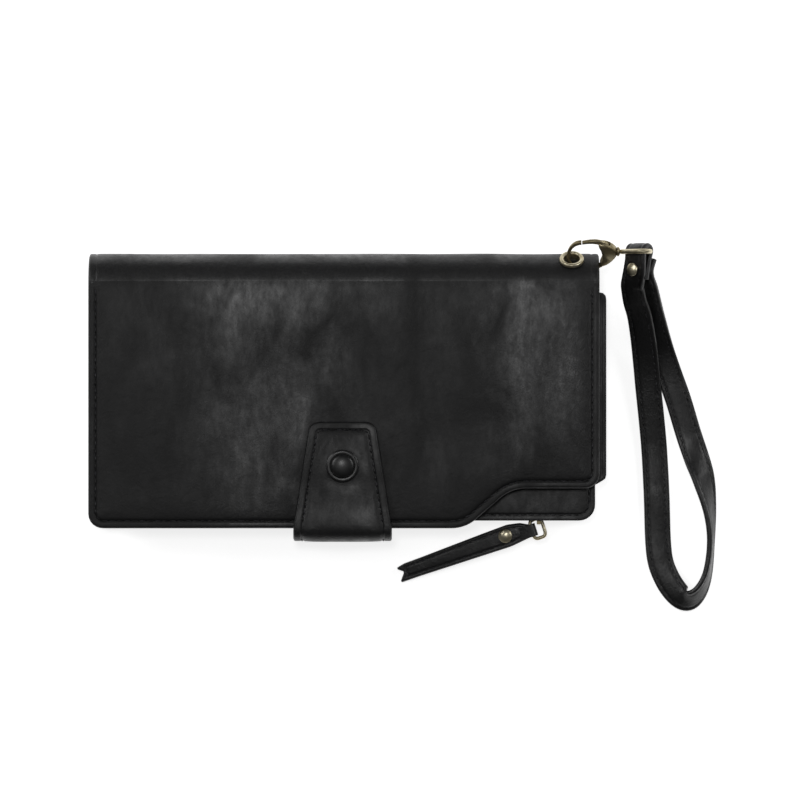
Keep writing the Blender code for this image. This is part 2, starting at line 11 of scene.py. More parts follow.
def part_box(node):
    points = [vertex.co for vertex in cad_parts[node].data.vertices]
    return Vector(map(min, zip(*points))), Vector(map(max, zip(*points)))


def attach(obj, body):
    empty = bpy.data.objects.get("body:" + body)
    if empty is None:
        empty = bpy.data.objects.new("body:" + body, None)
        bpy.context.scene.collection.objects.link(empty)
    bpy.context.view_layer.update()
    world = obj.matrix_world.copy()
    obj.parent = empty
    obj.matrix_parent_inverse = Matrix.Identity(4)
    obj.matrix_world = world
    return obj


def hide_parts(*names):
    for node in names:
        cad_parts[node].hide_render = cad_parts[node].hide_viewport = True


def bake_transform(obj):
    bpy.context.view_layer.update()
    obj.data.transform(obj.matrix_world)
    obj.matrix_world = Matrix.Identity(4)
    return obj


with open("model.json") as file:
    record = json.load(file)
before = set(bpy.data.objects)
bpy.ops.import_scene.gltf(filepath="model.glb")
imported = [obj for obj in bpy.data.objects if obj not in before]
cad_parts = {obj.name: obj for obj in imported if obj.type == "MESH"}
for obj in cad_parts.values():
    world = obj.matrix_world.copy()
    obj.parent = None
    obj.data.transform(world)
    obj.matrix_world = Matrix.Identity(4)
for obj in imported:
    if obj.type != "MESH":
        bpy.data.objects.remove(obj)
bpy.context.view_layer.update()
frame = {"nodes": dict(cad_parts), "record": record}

MM = 0.001


def corner_box(node):
    """Lowest and highest corner of a node, in millimetres."""
    low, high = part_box(node)
    return Vector(low) / MM, Vector(high) / MM


# ---- places read from the frame, millimetres ----
front_low, front_high = corner_box("front_outer_leather")
back_low, back_high = corner_box("back_outer_leather")
pocket_low, pocket_high = corner_box("zip_pocket_front")
pocket_back_low, pocket_back_high = corner_box("zip_pocket_back")
leaf_low, leaf_high = corner_box("card_leaf_panel")
cap_low, cap_high = corner_box("snap_cap")
THICKNESS = front_high.z
SPINE_RADIUS = THICKNESS / 2
SPINE_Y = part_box("spine_leather")[1][1] / MM - SPINE_RADIUS - 0.15
SNAP = Vector(((cap_low.x + cap_high.x) / 2, (cap_low.y + cap_high.y) / 2, cap_low.z))

# ---- sizes of the leather work, millimetres ----
BORDER = 2.8                 # stitch line to edge on the covers
STITCH_PITCH = 2.9
THREAD = 0.27                # thread radius
EDGE_ROUND = 0.9             # rolled edge radius of the thick panels
INSETS = (0.25, 0.55, 0.95, 1.4, 1.9, 2.3, 2.6, 2.85, 3.15, 3.6, 4.4, 5.6, 7.4)  # rows of points by an edge
SPINE_LEATHER_DEPTH = 1.15   # leather of the spine, from its face inwards
STRAP_WIDTH = 10.0
STRAP_THICKNESS = 2.2
STRAP_FOLD_RADIUS = 2.25     # centre line of the fold round the bar
STRAP_PARED = 0.94           # share of its width that the strap keeps where it folds
STRAP_BANK = math.radians(42)
STRAP_BAR = Vector((113.8, 53.1, 20.6))
EYELET_X = 87.9
EYELET_HOLE = 3.3            # radius punched through the spine for the eyelet's barrel
EYELET_TILT = math.radians(50)
NECK_H = 15.8                # clasp neck, measured out from the spine's centre line
PULL_BAR = Vector((72.72, -54.05, 11.0))
PULL_DIRECTION = Vector((-0.949, -0.314, 0.0)).normalized()
PULL_ACROSS = Vector((PULL_DIRECTION.y, -PULL_DIRECTION.x, 0))
PULL_LENGTH = 55.0
PULL_DROP = 8.2              # how far the pull slopes down to the table
PULL_STITCH_AT = 1.5         # stitch line to edge on the pull
TAB_STITCH_AT = 3.3          # stitch line to edge on the closure tab
EYELET_OUT = Vector((0.0, math.sin(EYELET_TILT), math.cos(EYELET_TILT)))
CLASP_SIDE = Vector((0.0, -math.cos(EYELET_TILT), math.sin(EYELET_TILT)))
SPINE_AXIS = Vector((0.0, SPINE_Y, SPINE_RADIUS))
BAR_ALONG = Vector((math.cos(STRAP_BANK), 0, math.sin(STRAP_BANK)))
BAR_LEAN = Vector((-BAR_ALONG.z, 0, BAR_ALONG.x))


# ================= materials =================
def colour(hex_code):
    """sRGB hex to linear colour."""
    channels = [int(hex_code[i:i + 2], 16) / 255 for i in (1, 3, 5)]
    linear = [c / 12.92 if c <= 0.04045 else ((c + 0.055) / 1.055) ** 2.4 for c in channels]
    return (*linear, 1.0)


def per_mm(size):
    """Texture scale whose features are about this many millimetres."""
    return 1 / (size * MM)


def add(tree, kind, inputs=None, **settings):
    """Adds one node with its settings; an input takes a value or another node's socket."""
    node = tree.nodes.new(kind)
    for key, value in settings.items():
        setattr(node, key, value)
    for socket, value in (inputs or {}).items():
        if isinstance(value, bpy.types.NodeSocket):
            tree.links.new(value, node.inputs[socket])
        else:
            node.inputs[socket].default_value = value
    return node


def start_material(name, **sockets):
    """Principled material; uniform values go straight on the shader's sockets."""
    made = bpy.data.materials.new(name)
    made.use_nodes = True
    tree = made.node_tree
    shader = tree.nodes["Principled BSDF"]
    for key, value in sockets.items():
        shader.inputs[key.replace("_", " ")].default_value = value
    place = add(tree, "ShaderNodeTexCoord").outputs["Object"]
    return made, tree, shader, place


def ramp(tree, factor, stops):
    """Colour ramp over a factor, from (position, colour) stops."""
    node = add(tree, "ShaderNodeValToRGB", {"Fac": factor})
    for i, (position, value) in enumerate(stops):
        element = node.color_ramp.elements[i] if i < 2 else node.color_ramp.elements.new(position)
        element.position = position
        element.color = value
    return node.outputs["Color"]


def grey(value):
    """Neutral value for a ramp that carries an amount, not a colour."""
    return (value, value, value, 1.0)


def waxed_leather(name, dark, light, rough_low, rough_high, wave, sheen_along=None):
    """Chrome tanned, waxed cow leather: fine grain, creases, and cloudy gloss that also lightens the base
    colour as a painted sheen.

    The last argument gives how strong the gloss and the painted sheen are along the wallet, as (share of its
    width, amount) stops.
    """
    made, tree, shader, place = start_material(name, IOR=1.5, Coat_Roughness=0.3)
    upright = add(tree, "ShaderNodeMapping", {"Vector": place, "Scale": (1.0, 0.5, 1.0)})
    clouds = add(tree, "ShaderNodeTexNoise", {"Vector": upright.outputs["Vector"], "Scale": per_mm(20),
                                              "Detail": 6.0, "Roughness": 0.62, "Distortion": 0.5})
    creases = add(tree, "ShaderNodeTexNoise", {"Vector": place, "Scale": per_mm(6), "Detail": 7.0,
                                               "Roughness": 0.7, "Distortion": 1.2})
    mottle = add(tree, "ShaderNodeTexNoise", {"Vector": upright.outputs["Vector"], "Scale": per_mm(2.6),
                                              "Detail": 5.0, "Roughness": 0.7})
    grain = add(tree, "ShaderNodeTexVoronoi", {"Vector": place, "Scale": per_mm(0.8)}, feature="F1")
    gloss = add(tree, "ShaderNodeMapRange", {"Value": clouds.outputs["Fac"], "From Min": 0.36,
                                             "From Max": 0.66}).outputs["Result"]
    specks = add(tree, "ShaderNodeMapRange", {"Value": mottle.outputs["Fac"], "From Min": 0.35,
                                              "From Max": 0.65, "To Min": 0.45, "To Max": 1.15})
    gloss = add(tree, "ShaderNodeMath", {0: gloss, 1: specks.outputs["Result"]},
                operation="MULTIPLY").outputs["Value"]
    # Patches of gloss and painted sheen across the wallet's width
    if sheen_along:
        apart = add(tree, "ShaderNodeSeparateXYZ", {"Vector": place})
        share = add(tree, "ShaderNodeMapRange", {"Value": apart.outputs["X"],
                                                 "From Min": front_low.x * MM,
                                                 "From Max": front_high.x * MM})
        sheen_spread = ramp(tree, share.outputs["Result"], [(at, grey(amount)) for at, amount in sheen_along])
        gloss = add(tree, "ShaderNodeMath", {0: gloss, 1: sheen_spread}, operation="MULTIPLY").outputs["Value"]
    # Base colour lighter where glossier: painted sheen
    tree.links.new(ramp(tree, gloss, [(0.0, colour(dark)), (1.0, colour(light))]),
                   shader.inputs["Base Color"])
    rough = add(tree, "ShaderNodeMapRange", {"Value": gloss, "To Min": rough_high, "To Max": rough_low})
    tree.links.new(rough.outputs["Result"], shader.inputs["Roughness"])
    coat = add(tree, "ShaderNodeMath", {0: gloss, 1: 0.6}, operation="MULTIPLY")
    tree.links.new(coat.outputs["Value"], shader.inputs["Coat Weight"])
    waves = add(tree, "ShaderNodeTexNoise", {"Vector": upright.outputs["Vector"], "Scale": per_mm(26),
                                             "Detail": 2.0, "Distortion": 0.4})
    broad = add(tree, "ShaderNodeBump", {"Height": waves.outputs["Fac"], "Strength": 0.6,
                                         "Distance": wave * MM})
    crease = add(tree, "ShaderNodeBump", {"Height": creases.outputs["Fac"], "Strength": 0.7,
                                          "Distance": 0.4 * MM, "Normal": broad.outputs["Normal"]})
    fine = add(tree, "ShaderNodeBump", {"Height": grain.outputs["Distance"], "Strength": 0.3,
                                        "Distance": 0.14 * MM, "Normal": crease.outputs["Normal"]})
    tree.links.new(fine.outputs["Normal"], shader.inputs["Normal"])
    return made


def antique_brass(name, bright, dirt, roughness):
    """Cast zinc plated in antique brass: warm metal, dark in its hollows, fine handling scratches."""
    made, tree, shader, place = start_material(name, Metallic=1.0)
    stain = add(tree, "ShaderNodeTexNoise", {"Vector": place, "Scale": per_mm(5), "Detail": 3.0})
    tree.links.new(ramp(tree, stain.outputs["Fac"], [(0.35, colour(dirt)), (0.6, colour(bright))]),
                   shader.inputs["Base Color"])
    sheen_spread = add(tree, "ShaderNodeMapRange", {"Value": stain.outputs["Fac"], "From Min": 0.3,
                                            "From Max": 0.7, "To Min": roughness + 0.15,
                                            "To Max": roughness})
    tree.links.new(sheen_spread.outputs["Result"], shader.inputs["Roughness"])
    scratch = add(tree, "ShaderNodeTexNoise", {"Vector": place, "Scale": per_mm(0.5), "Detail": 3.0})
    bump = add(tree, "ShaderNodeBump", {"Height": scratch.outputs["Fac"], "Strength": 0.15,
                                        "Distance": 0.03 * MM})
    tree.links.new(bump.outputs["Normal"], shader.inputs["Normal"])
    return made


def woven_cloth(name, thread_colour, gap_colour, thread_mm):
    """Plain woven polyester: two sets of threads crossing, drawn a little coarse so they show."""
    made, tree, shader, place = start_material(name, Roughness=0.85, Sheen_Weight=0.25,
                                               Sheen_Roughness=0.4)
    warp = add(tree, "ShaderNodeTexWave", {"Vector": place, "Scale": per_mm(thread_mm) / 20,
                                           "Distortion": 0.3}, bands_direction="X")
    weft = add(tree, "ShaderNodeTexWave", {"Vector": place, "Scale": per_mm(thread_mm) / 20,
                                           "Distortion": 0.3}, bands_direction="Y")
    cross = add(tree, "ShaderNodeMath", {0: warp.outputs["Fac"], 1: weft.outputs["Fac"]},
                operation="MULTIPLY")
    tree.links.new(ramp(tree, cross.outputs["Value"], [(0.0, colour(gap_colour)),
                                                       (0.7, colour(thread_colour))]),
                   shader.inputs["Base Color"])
    bump = add(tree, "ShaderNodeBump", {"Height": cross.outputs["Value"], "Strength": 0.5,
                                        "Distance": 0.15 * MM})
    tree.links.new(bump.outputs["Normal"], shader.inputs["Normal"])
    return made


def pressed_board(name):
    """Grey pressed paper board: matt, with short fibres."""
    made, tree, shader, place = start_material(name, Roughness=0.9)
    fibres = add(tree, "ShaderNodeTexNoise", {"Vector": place, "Scale": per_mm(1.5), "Detail": 8.0})
    tree.links.new(ramp(tree, fibres.outputs["Fac"], [(0.3, colour("#4A4744")),
                                                      (0.7, colour("#6A6661"))]),
                   shader.inputs["Base Color"])
    return made


def stoved_enamel(name):
    """Stoved black enamel on the snap cap: a hard, wet-looking gloss with slight orange peel."""
    made, tree, shader, place = start_material(name, IOR=1.5, Coat_Weight=0.25, Coat_Roughness=0.2)
    peel = add(tree, "ShaderNodeTexNoise", {"Vector": place, "Scale": per_mm(1.8), "Detail": 2.0})
    tree.links.new(ramp(tree, peel.outputs["Fac"], [(0.3, colour("#050505")), (0.7, colour("#0C0C0D"))]),
                   shader.inputs["Base Color"])
    shine = add(tree, "ShaderNodeMapRange", {"Value": peel.outputs["Fac"], "To Min": 0.34,
                                             "To Max": 0.46})
    tree.links.new(shine.outputs["Result"], shader.inputs["Roughness"])
    bump = add(tree, "ShaderNodeBump", {"Height": peel.outputs["Fac"], "Strength": 0.1,
                                        "Distance": 0.05 * MM})
    tree.links.new(bump.outputs["Normal"], shader.inputs["Normal"])
    return made


def waxed_thread(name):
    """Twisted nylon thread, waxed: strands run slantwise round it."""
    made, tree, shader, place = start_material(name, Roughness=0.45)
    twist = add(tree, "ShaderNodeTexWave", {"Vector": place, "Scale": per_mm(0.5) / 20},
                bands_direction="DIAGONAL")
    tree.links.new(ramp(tree, twist.outputs["Fac"], [(0.0, colour("#060606")), (1.0, colour("#26262A"))]),
                   shader.inputs["Base Color"])
    bump = add(tree, "ShaderNodeBump", {"Height": twist.outputs["Fac"], "Strength": 0.5,
                                        "Distance": 0.08 * MM})
    tree.links.new(bump.outputs["Normal"], shader.inputs["Normal"])
    return made


def clear_film(name):
    """Soft clear vinyl over the photo window, with faint ripples."""
    made, tree, shader, place = start_material(name, IOR=1.53, Roughness=0.12, Alpha=0.3)
    ripple = add(tree, "ShaderNodeTexNoise", {"Vector": place, "Scale": per_mm(18), "Detail": 2.0})
    tree.links.new(ramp(tree, ripple.outputs["Fac"], [(0.3, colour("#A9ADB2")), (0.7, colour("#C4C8CC"))]),
                   shader.inputs["Base Color"])
    bump = add(tree, "ShaderNodeBump", {"Height": ripple.outputs["Fac"], "Strength": 0.3,
                                        "Distance": 0.4 * MM})
    tree.links.new(bump.outputs["Normal"], shader.inputs["Normal"])
    return made


# Where along the cover the gloss and the painted sheen are strong, in patches where the lights reflect
SHEEN_PATCHES = [(0.0, 0.15), (0.2, 0.3), (0.28, 0.85), (0.42, 0.9), (0.52, 0.35), (0.74, 0.3),
           (0.84, 1.0), (0.94, 1.0), (1.0, 0.4)]
COVER_LEATHER = waxed_leather("waxed_cover_leather", "#060607", "#0E0E10", 0.3, 0.6, 0.9, SHEEN_PATCHES)
# Darker copy of the cover leather for the spine, which curves away from the lights: painted shade
SPINE_LEATHER = waxed_leather("spine_leather_painted_shade", "#040405", "#08080A", 0.44, 0.6, 0.3)
TRIM_LEATHER = waxed_leather("waxed_trim_leather", "#080809", "#101011", 0.36, 0.56, 0.4)
STRAP_LEATHER = waxed_leather("strap_leather", "#040405", "#0A0A0B", 0.3, 0.5, 0.4)
BRASS = antique_brass("antique_brass", "#ADA284", "#857A5E", 0.34)
BRIGHT_BRASS = antique_brass("rubbed_brass", "#D8D0B6", "#ADA283", 0.3)
LINING = woven_cloth("twill_lining", "#1A1A1D", "#08080A", 0.6)
TAPE = woven_cloth("zip_tape_weave", "#17171A", "#060607", 0.5)
BOARD = pressed_board("pressed_board")
ENAMEL = stoved_enamel("stoved_enamel")
THREAD_FINISH = waxed_thread("waxed_thread")
FILM = clear_film("clear_film")


# ================= mesh tools, millimetres in and metres out =================
def finish_mesh(name, shape, finish, sharp=40):
    """Object from a bmesh: faces outwards, smooth, with edges sharper than an angle kept crisp."""
    bmesh.ops.recalc_face_normals(shape, faces=shape.faces)
    mesh = bpy.data.meshes.new(name)
    shape.to_mesh(mesh)
    shape.free()
    mesh.shade_smooth()
    mesh.set_sharp_from_angle(angle=math.radians(sharp))
    mesh.materials.append(finish)
    made = bpy.data.objects.new(name, mesh)
    bpy.context.collection.objects.link(made)
    return made


def loft(name, rings, finish, closed=False, sharp=40):
    """Skin over rings of points, capped at both ends or closed on itself."""
    shape = bmesh.new()
    rows = [[shape.verts.new(Vector(p) * MM) for p in ring] for ring in rings]
    pairs = zip(rows, rows[1:] + rows[:1]) if closed else zip(rows, rows[1:])
    for first, second in pairs:
        for i in range(len(first)):
            j = (i + 1) % len(first)
            shape.faces.new((first[i], first[j], second[j], second[i]))
    if not closed:
        shape.faces.new(rows[0])
        shape.faces.new(rows[-1])
    return finish_mesh(name, shape, finish, sharp)


def rounded(corners, steps=8):
    """Outline from (x, y, radius) corners."""
    outline = []
    for i, (x, y, radius) in enumerate(corners):
        here = Vector((x, y))
        back = (Vector(corners[i - 1][:2]) - here).normalized()
        ahead = (Vector(corners[(i + 1) % len(corners)][:2]) - here).normalized()
        if radius == 0:
            outline.append(here)
            continue
        half = back.angle(ahead) / 2
        centre = here + (back + ahead).normalized() * (radius / math.sin(half))
        start = here + back * (radius / math.tan(half)) - centre
        end = here + ahead * (radius / math.tan(half)) - centre
        for step in range(steps + 1):
            outline.append(centre + start.lerp(end, step / steps).normalized() * radius)
    return outline


def rounded_box(low, high, radius, steps):
    """Rectangle between two corners, with all its corners rounded."""
    return rounded([(low.x, low.y, radius), (high.x, low.y, radius), (high.x, high.y, radius),
                    (low.x, high.y, radius)], steps)


def resample(points, spacing, closed=True):
    """Even spacing along a path in any number of dimensions."""
    pts = np.array([tuple(p) for p in points], dtype=float)
    if closed:
        pts = np.vstack([pts, pts[:1]])
    lengths = np.r_[0, np.cumsum(np.linalg.norm(np.diff(pts, axis=0), axis=1))]
    count = max(int(round(lengths[-1] / spacing)), 3)
    marks = np.linspace(0, lengths[-1], count + 1)
    columns = [np.interp(marks, lengths, pts[:, k]) for k in range(pts.shape[1])]
    even = np.stack(columns, axis=1)
    return even[:-1] if closed else even


def edge_distance(points, outline):
    """Distance of each point to the closed outline."""
    a = outline
    b = np.roll(outline, -1, axis=0)
    ab = b - a
    ap = points[:, None, :] - a[None]
    t = np.clip((ap * ab).sum(2) / np.maximum((ab * ab).sum(1), 1e-9), 0, 1)
    gap = ap - t[..., None] * ab
    return np.sqrt((gap ** 2).sum(2)).min(1)


def is_inside(points, outline):
    """Whether each point lies within the closed outline."""
    a = outline
    b = np.roll(outline, -1, axis=0)
    x, y = points[:, 0:1], points[:, 1:2]
    crosses = (a[:, 1] > y) != (b[:, 1] > y)
    rise = np.where(b[:, 1] == a[:, 1], 1e-9, b[:, 1] - a[:, 1])
    at = a[:, 0] + (y - a[:, 1]) * (b[:, 0] - a[:, 0]) / rise
    return ((crosses & (x < at)).sum(1) % 2) == 1


def inset_path(outline, distance):
    """Points a set distance inside the outline, without those that a corner pushes too near it."""
    ahead = np.roll(outline, -1, axis=0) - np.roll(outline, 1, axis=0)
    ahead /= np.linalg.norm(ahead, axis=1)[:, None]
    inward = np.stack([-ahead[:, 1], ahead[:, 0]], axis=1)
    moved = outline + inward * distance
    keep = edge_distance(moved, outline) > distance - 0.06
    return moved[keep]


def leather_panel(name, outline, finish, top, bottom, relief, to_world=None, grid=3.0, spacing=1.5):
    """Sheet with a sewn border. relief gives its height at a distance from the edge and a place."""
    outline = resample(outline, spacing)
    parts = [outline]
    for distance in INSETS:
        parts.append(inset_path(outline, distance))
    low, high = outline.min(0), outline.max(0)
    xs = np.arange(low[0] + grid / 2, high[0], grid)
    ys = np.arange(low[1] + grid / 2, high[1], grid)
    lattice = np.stack(np.meshgrid(xs, ys), axis=-1).reshape(-1, 2)
    lattice = lattice[is_inside(lattice, outline)]
    lattice = lattice[edge_distance(lattice, outline) > INSETS[-1] + 1.6]
    parts.append(lattice)
    cloud = np.vstack(parts)
    rim_face = [list(range(len(outline)))]
    flat, _, faces = geometry.delaunay_2d_cdt([Vector(p) for p in cloud], [], rim_face, 1, 1e-5)[:3]
    spots = np.array([tuple(p) for p in flat])
    distance = edge_distance(spots, outline)
    shape = bmesh.new()
    place = to_world or (lambda x, y, z: Vector((x, y, z)))
    tops, bases = [], []
    for (x, y), d in zip(spots, distance):
        lift = relief(d, x, y)
        curl = min(EDGE_ROUND * 0.5, (top - bottom) * 0.2) * max(0.0, 1 - d / EDGE_ROUND) ** 2
        tops.append(shape.verts.new(place(x, y, top + lift) * MM))
        bases.append(shape.verts.new(place(x, y, bottom + curl) * MM))
    sides = {}
    for face in faces:
        shape.faces.new([tops[i] for i in face])
        shape.faces.new([bases[i] for i in reversed(face)])
        for side in zip(face, face[1:] + face[:1]):
            sides[side] = True
    for i, j in sides:
        if (j, i) not in sides:
            shape.faces.new((tops[j], tops[i], bases[i], bases[j]))
    return finish_mesh(name, shape, finish, sharp=60)


def border_relief(stitch_at, puff, wave=0.0, groove=0.42, seed=0.0, edge=EDGE_ROUND):
    """Rolled edge, raised border, stitch groove and a puffed middle that waves gently."""
    def height(d, x, y):
        roll = edge - math.sqrt(max(edge ** 2 - max(edge - d, 0) ** 2, 0))
        lift = -roll
        lift -= groove * math.exp(-((d - stitch_at) / 0.38) ** 2)
        if d > stitch_at:
            inner = d - stitch_at
            lift += puff * (1 - math.exp(-inner / 2.6))
            ripple = noise.noise(Vector((x / 33 + seed, y / 24, seed)))
            ripple += 0.5 * noise.noise(Vector((x / 13, y / 15 + seed, seed + 3)))
            lift += wave * ripple * min(inner / 12, 1)
        return lift
    return height


def capsule(shape, middle, along, up, length, radius):
    """One thread stitch: a short rounded bar that dips at both ends."""
    side = along.cross(up).normalized()
    rings = []
    end, shoulder, middle_ring = (0.35, 0.7), (0.85, 0.3), (1.0, 0.0)
    for t, (scale, sink) in ((-1, end), (-0.8, shoulder), (0, middle_ring), (0.8, shoulder), (1, end)):
        centre = middle + along * (t * length / 2) - up * sink * radius
        ring = []
        for k in range(6):
            angle = math.tau * k / 6
            point = centre + (side * math.cos(angle) + up * math.sin(angle)) * radius * scale
            ring.append(shape.verts.new(point * MM))
        rings.append(ring)
    for first, second in zip(rings, rings[1:]):
        for k in range(6):
            j = (k + 1) % 6
            shape.faces.new((first[k], first[j], second[j], second[k]))
    shape.faces.new(rings[0])
    shape.faces.new(rings[-1])


def stitch_row(name, path, ups, pitch=STITCH_PITCH, closed=False, radius=THREAD):
    """Stitches along a 3-D path; ups gives the way out of the leather at a point."""
    even = resample(path, pitch, closed)
    shape = bmesh.new()
    count = len(even)
    for i in range(count if closed else count - 1):
        a, b = Vector(even[i]), Vector(even[(i + 1) % count])
        if (b - a).length < pitch * 0.5 or (b - a).length > pitch * 1.8:
            continue
        middle = (a + b) / 2
        capsule(shape, middle, (b - a).normalized(), ups(middle), pitch * 0.74, radius)
    return finish_mesh(name, shape, THREAD_FINISH, sharp=80)


def after_gap(points):
    """The same closed run of points, started after its longest gap so that no stitch jumps across it."""
    jumps = [(Vector(points[i]) - Vector(points[i - 1])).length for i in range(len(points))]
    first = jumps.index(max(jumps))
    return points[first:] + points[:first]


def flat_stitches(name, outline, stitch_at, height, keep, up=Vector((0, 0, 1))):
    """Stitches along the border of a flat panel, where keep(x, y) is true."""
    path = inset_path(resample(outline, 0.8), stitch_at)
    path = resample(path, 0.8)
    kept = [(x, y, height) for x, y in path if keep(x, y)]
    return stitch_row(name, after_gap(kept), lambda p: up)


def turned(name, profile, centre, axis, finish, segments=48, sharp=35):
    """Turns an open or closed (radius, height) outline about an axis."""
    axis = Vector(axis).normalized()
    across = axis.orthogonal().normalized()
    other = axis.cross(across)
    shape = bmesh.new()
    columns, poles = [], {}
    for s in range(segments):
        angle = math.tau * s / segments
        spoke = across * math.cos(angle) + other * math.sin(angle)
        column = []
        for k, (radius, height) in enumerate(profile):
            point = (Vector(centre) + axis * height + spoke * radius) * MM
            if radius == 0:
                poles[k] = poles.get(k) or shape.verts.new(point)
                column.append(poles[k])
            else:
                column.append(shape.verts.new(point))
        columns.append(column)
    for s in range(segments):
        first, second = columns[s], columns[(s + 1) % segments]
        for i in range(len(profile)):
            j = (i + 1) % len(profile)
            unique = list(dict.fromkeys([first[i], first[j], second[j], second[i]]))
            if len(unique) > 2:
                shape.faces.new(unique)
    return finish_mesh(name, shape, finish, sharp)


def arc(centre_r, centre_h, radius, start, end, steps=6):
    """Part of a circle in a turned outline, angles in degrees."""
    return [(centre_r + radius * math.cos(math.radians(start + (end - start) * k / steps)),
             centre_h + radius * math.sin(math.radians(start + (end - start) * k / steps)))
            for k in range(steps + 1)]


def smooth_path(points, per_span):
    """Catmull-Rom curve through points of any dimension."""
    padded = [points[0]] + list(points) + [points[-1]]
    curve = []
    for i in range(1, len(padded) - 2):
        a, b, c, d = (Vector(padded[i + k]) for k in (-1, 0, 1, 2))
        for step in range(per_span):
            t = step / per_span
            bend = (2 * a - 5 * b + 4 * c - d) * t * t + (3 * b - a - 3 * c + d) * t ** 3
            curve.append((2 * b + (c - a) * t + bend) / 2)
    curve.append(Vector(points[-1]))
    return curve


def wire(name, path, radii, finish, closed=False, sides=16):
    """Round wire whose radius can change along its path."""
    points = [Vector(p) for p in path]
    count = len(points)
    radii = radii if isinstance(radii, list) else [radii] * count
    rings, normal = [], None
    for i, here in enumerate(points):
        before = points[i - 1] if closed or i else here
        after = points[(i + 1) % count] if closed or i < count - 1 else here
        along = (after - before).normalized()
        normal = normal or along.orthogonal().normalized()
        normal = (normal - along * normal.dot(along)).normalized()
        side = along.cross(normal)
        turns = [math.tau * k / sides for k in range(sides)]
        rings.append([here + (normal * math.cos(t) + side * math.sin(t)) * radii[i] for t in turns])
    return loft(name, rings, finish, closed, sharp=50)


def cut_away(piece, cutter, name):
    """Cuts one solid out of another, and removes the cutter."""
    step = piece.modifiers.new(name, "BOOLEAN")
    step.operation = "DIFFERENCE"
    step.object = cutter
    with bpy.context.temp_override(object=piece, active_object=piece, selected_objects=[piece]):
        bpy.ops.object.modifier_apply(modifier=step.name)
    bpy.data.objects.remove(cutter, do_unlink=True)


# ================= covers =================
def cover_outline():
    """Front cover: rounded corners, and the S-shaped cut that shows the pocket."""
    left, right, low, top = front_low.x, front_high.x, front_low.y, SPINE_Y + 0.8
    return rounded([(left, low, 5.5), (47.1, low, 14.0), (64.7, -37.7, 15.0), (right, -37.7, 5.5),
                    (right, top, 0), (left, top, 0)])


def back_outline():
    """Back cover: stepped in by a few millimetres under the pocket's open corner."""
    left, right, low = back_low.x, back_high.x, back_low.y
    return rounded([(left, low, 5.5), (42.0, low, 4.0), (48.0, low + 3, 4.0), (right, low + 3, 5.5),
                    (right, SPINE_Y, 0), (left, SPINE_Y, 0)])


def cover_relief(d, x, y):
    """Sewn border on the free edges; along the spine the leather runs on with only a soft dip."""
    near_spine = SPINE_Y - y
    side = min(x - front_low.x, front_high.x - x)
    settled = 1 - math.exp(-(max(near_spine, 0) / 8.0) ** 2)
    if near_spine < 25:
        d = side
    flat = border_relief(BORDER, 0.0, 0.0)(d, x, y)
    full = border_relief(BORDER, 0.75, 0.30)(d, x, y)
    return flat + (full - flat) * settled


def make_covers():
    """Both covers with their border stitches; the front one runs on into the spine."""
    underside, back_depth = 20.7, 2.5
    front = leather_panel("front_cover_leather", cover_outline(), COVER_LEATHER, THICKNESS,
                          underside, cover_relief)
    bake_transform(front)
    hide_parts("front_outer_leather", "front_stiffener_board")
    rows = flat_stitches("front_cover_stitches", cover_outline(), BORDER, THICKNESS - 0.22,
                         lambda x, y: y < SPINE_Y - 1.0)
    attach(rows, "front_cover")

    def downwards(x, y, z):
        return Vector((x, y, -z))
    back = leather_panel("back_cover_leather", back_outline(), COVER_LEATHER, 0.0, -back_depth,
                         lambda d, x, y: min(border_relief(BORDER, 0.0, 0.0)(d, x, y), 0.0),
                         downwards)
    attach(back, "wallet_body")
    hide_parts("back_outer_leather", "back_stiffener_board")
    rows = flat_stitches("back_cover_stitches", back_outline(), BORDER, 0.22,
                         lambda x, y: y < SPINE_Y - 3.5, Vector((0, 0, -1)))
    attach(rows, "wallet_body")


def make_spine():
    """Half-round spine with the same border at both ends, rolled over the lining."""
    left, right = front_low.x, front_high.x
    marks = [0, *INSETS]
    middle = list(np.arange(left + 10, right - 9, 2.5))
    stations = [left + m for m in marks] + middle + [right - m for m in reversed(marks)]
    relief = border_relief(BORDER, 0.0, 0.0, 0.2)
    steps = 40
    rings = []
    for x in stations:
        d = min(x - left, right - x)
        outer, inner = [], []
        for k in range(steps + 1):
            angle = math.pi * k / steps
            ripple = 0.16 * noise.noise(Vector((x / 21, k / 9, 5))) * min(d / 8, 1) * math.sin(angle)
            reach = SPINE_RADIUS + relief(d, x, 0) + ripple
            for radius, row in ((reach, outer), (SPINE_RADIUS - SPINE_LEATHER_DEPTH, inner)):
                row.append((x, SPINE_Y + radius * math.sin(angle), SPINE_RADIUS - radius * math.cos(angle)))
        rings.append(outer + inner[::-1])
    spine = loft("spine_cover_leather", rings, SPINE_LEATHER, sharp=60)
    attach(spine, "wallet_body")
    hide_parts("spine_leather")
    return spine


def punch(piece, centre, axis, radius):
    """Punches a round hole through a piece."""
    reach = 6
    profile = [(0, -reach), (radius, -reach), (radius, reach), (0, reach)]
    cut_away(piece, turned("punch_tool", profile, centre, axis, LINING, 32), "punched_hole")


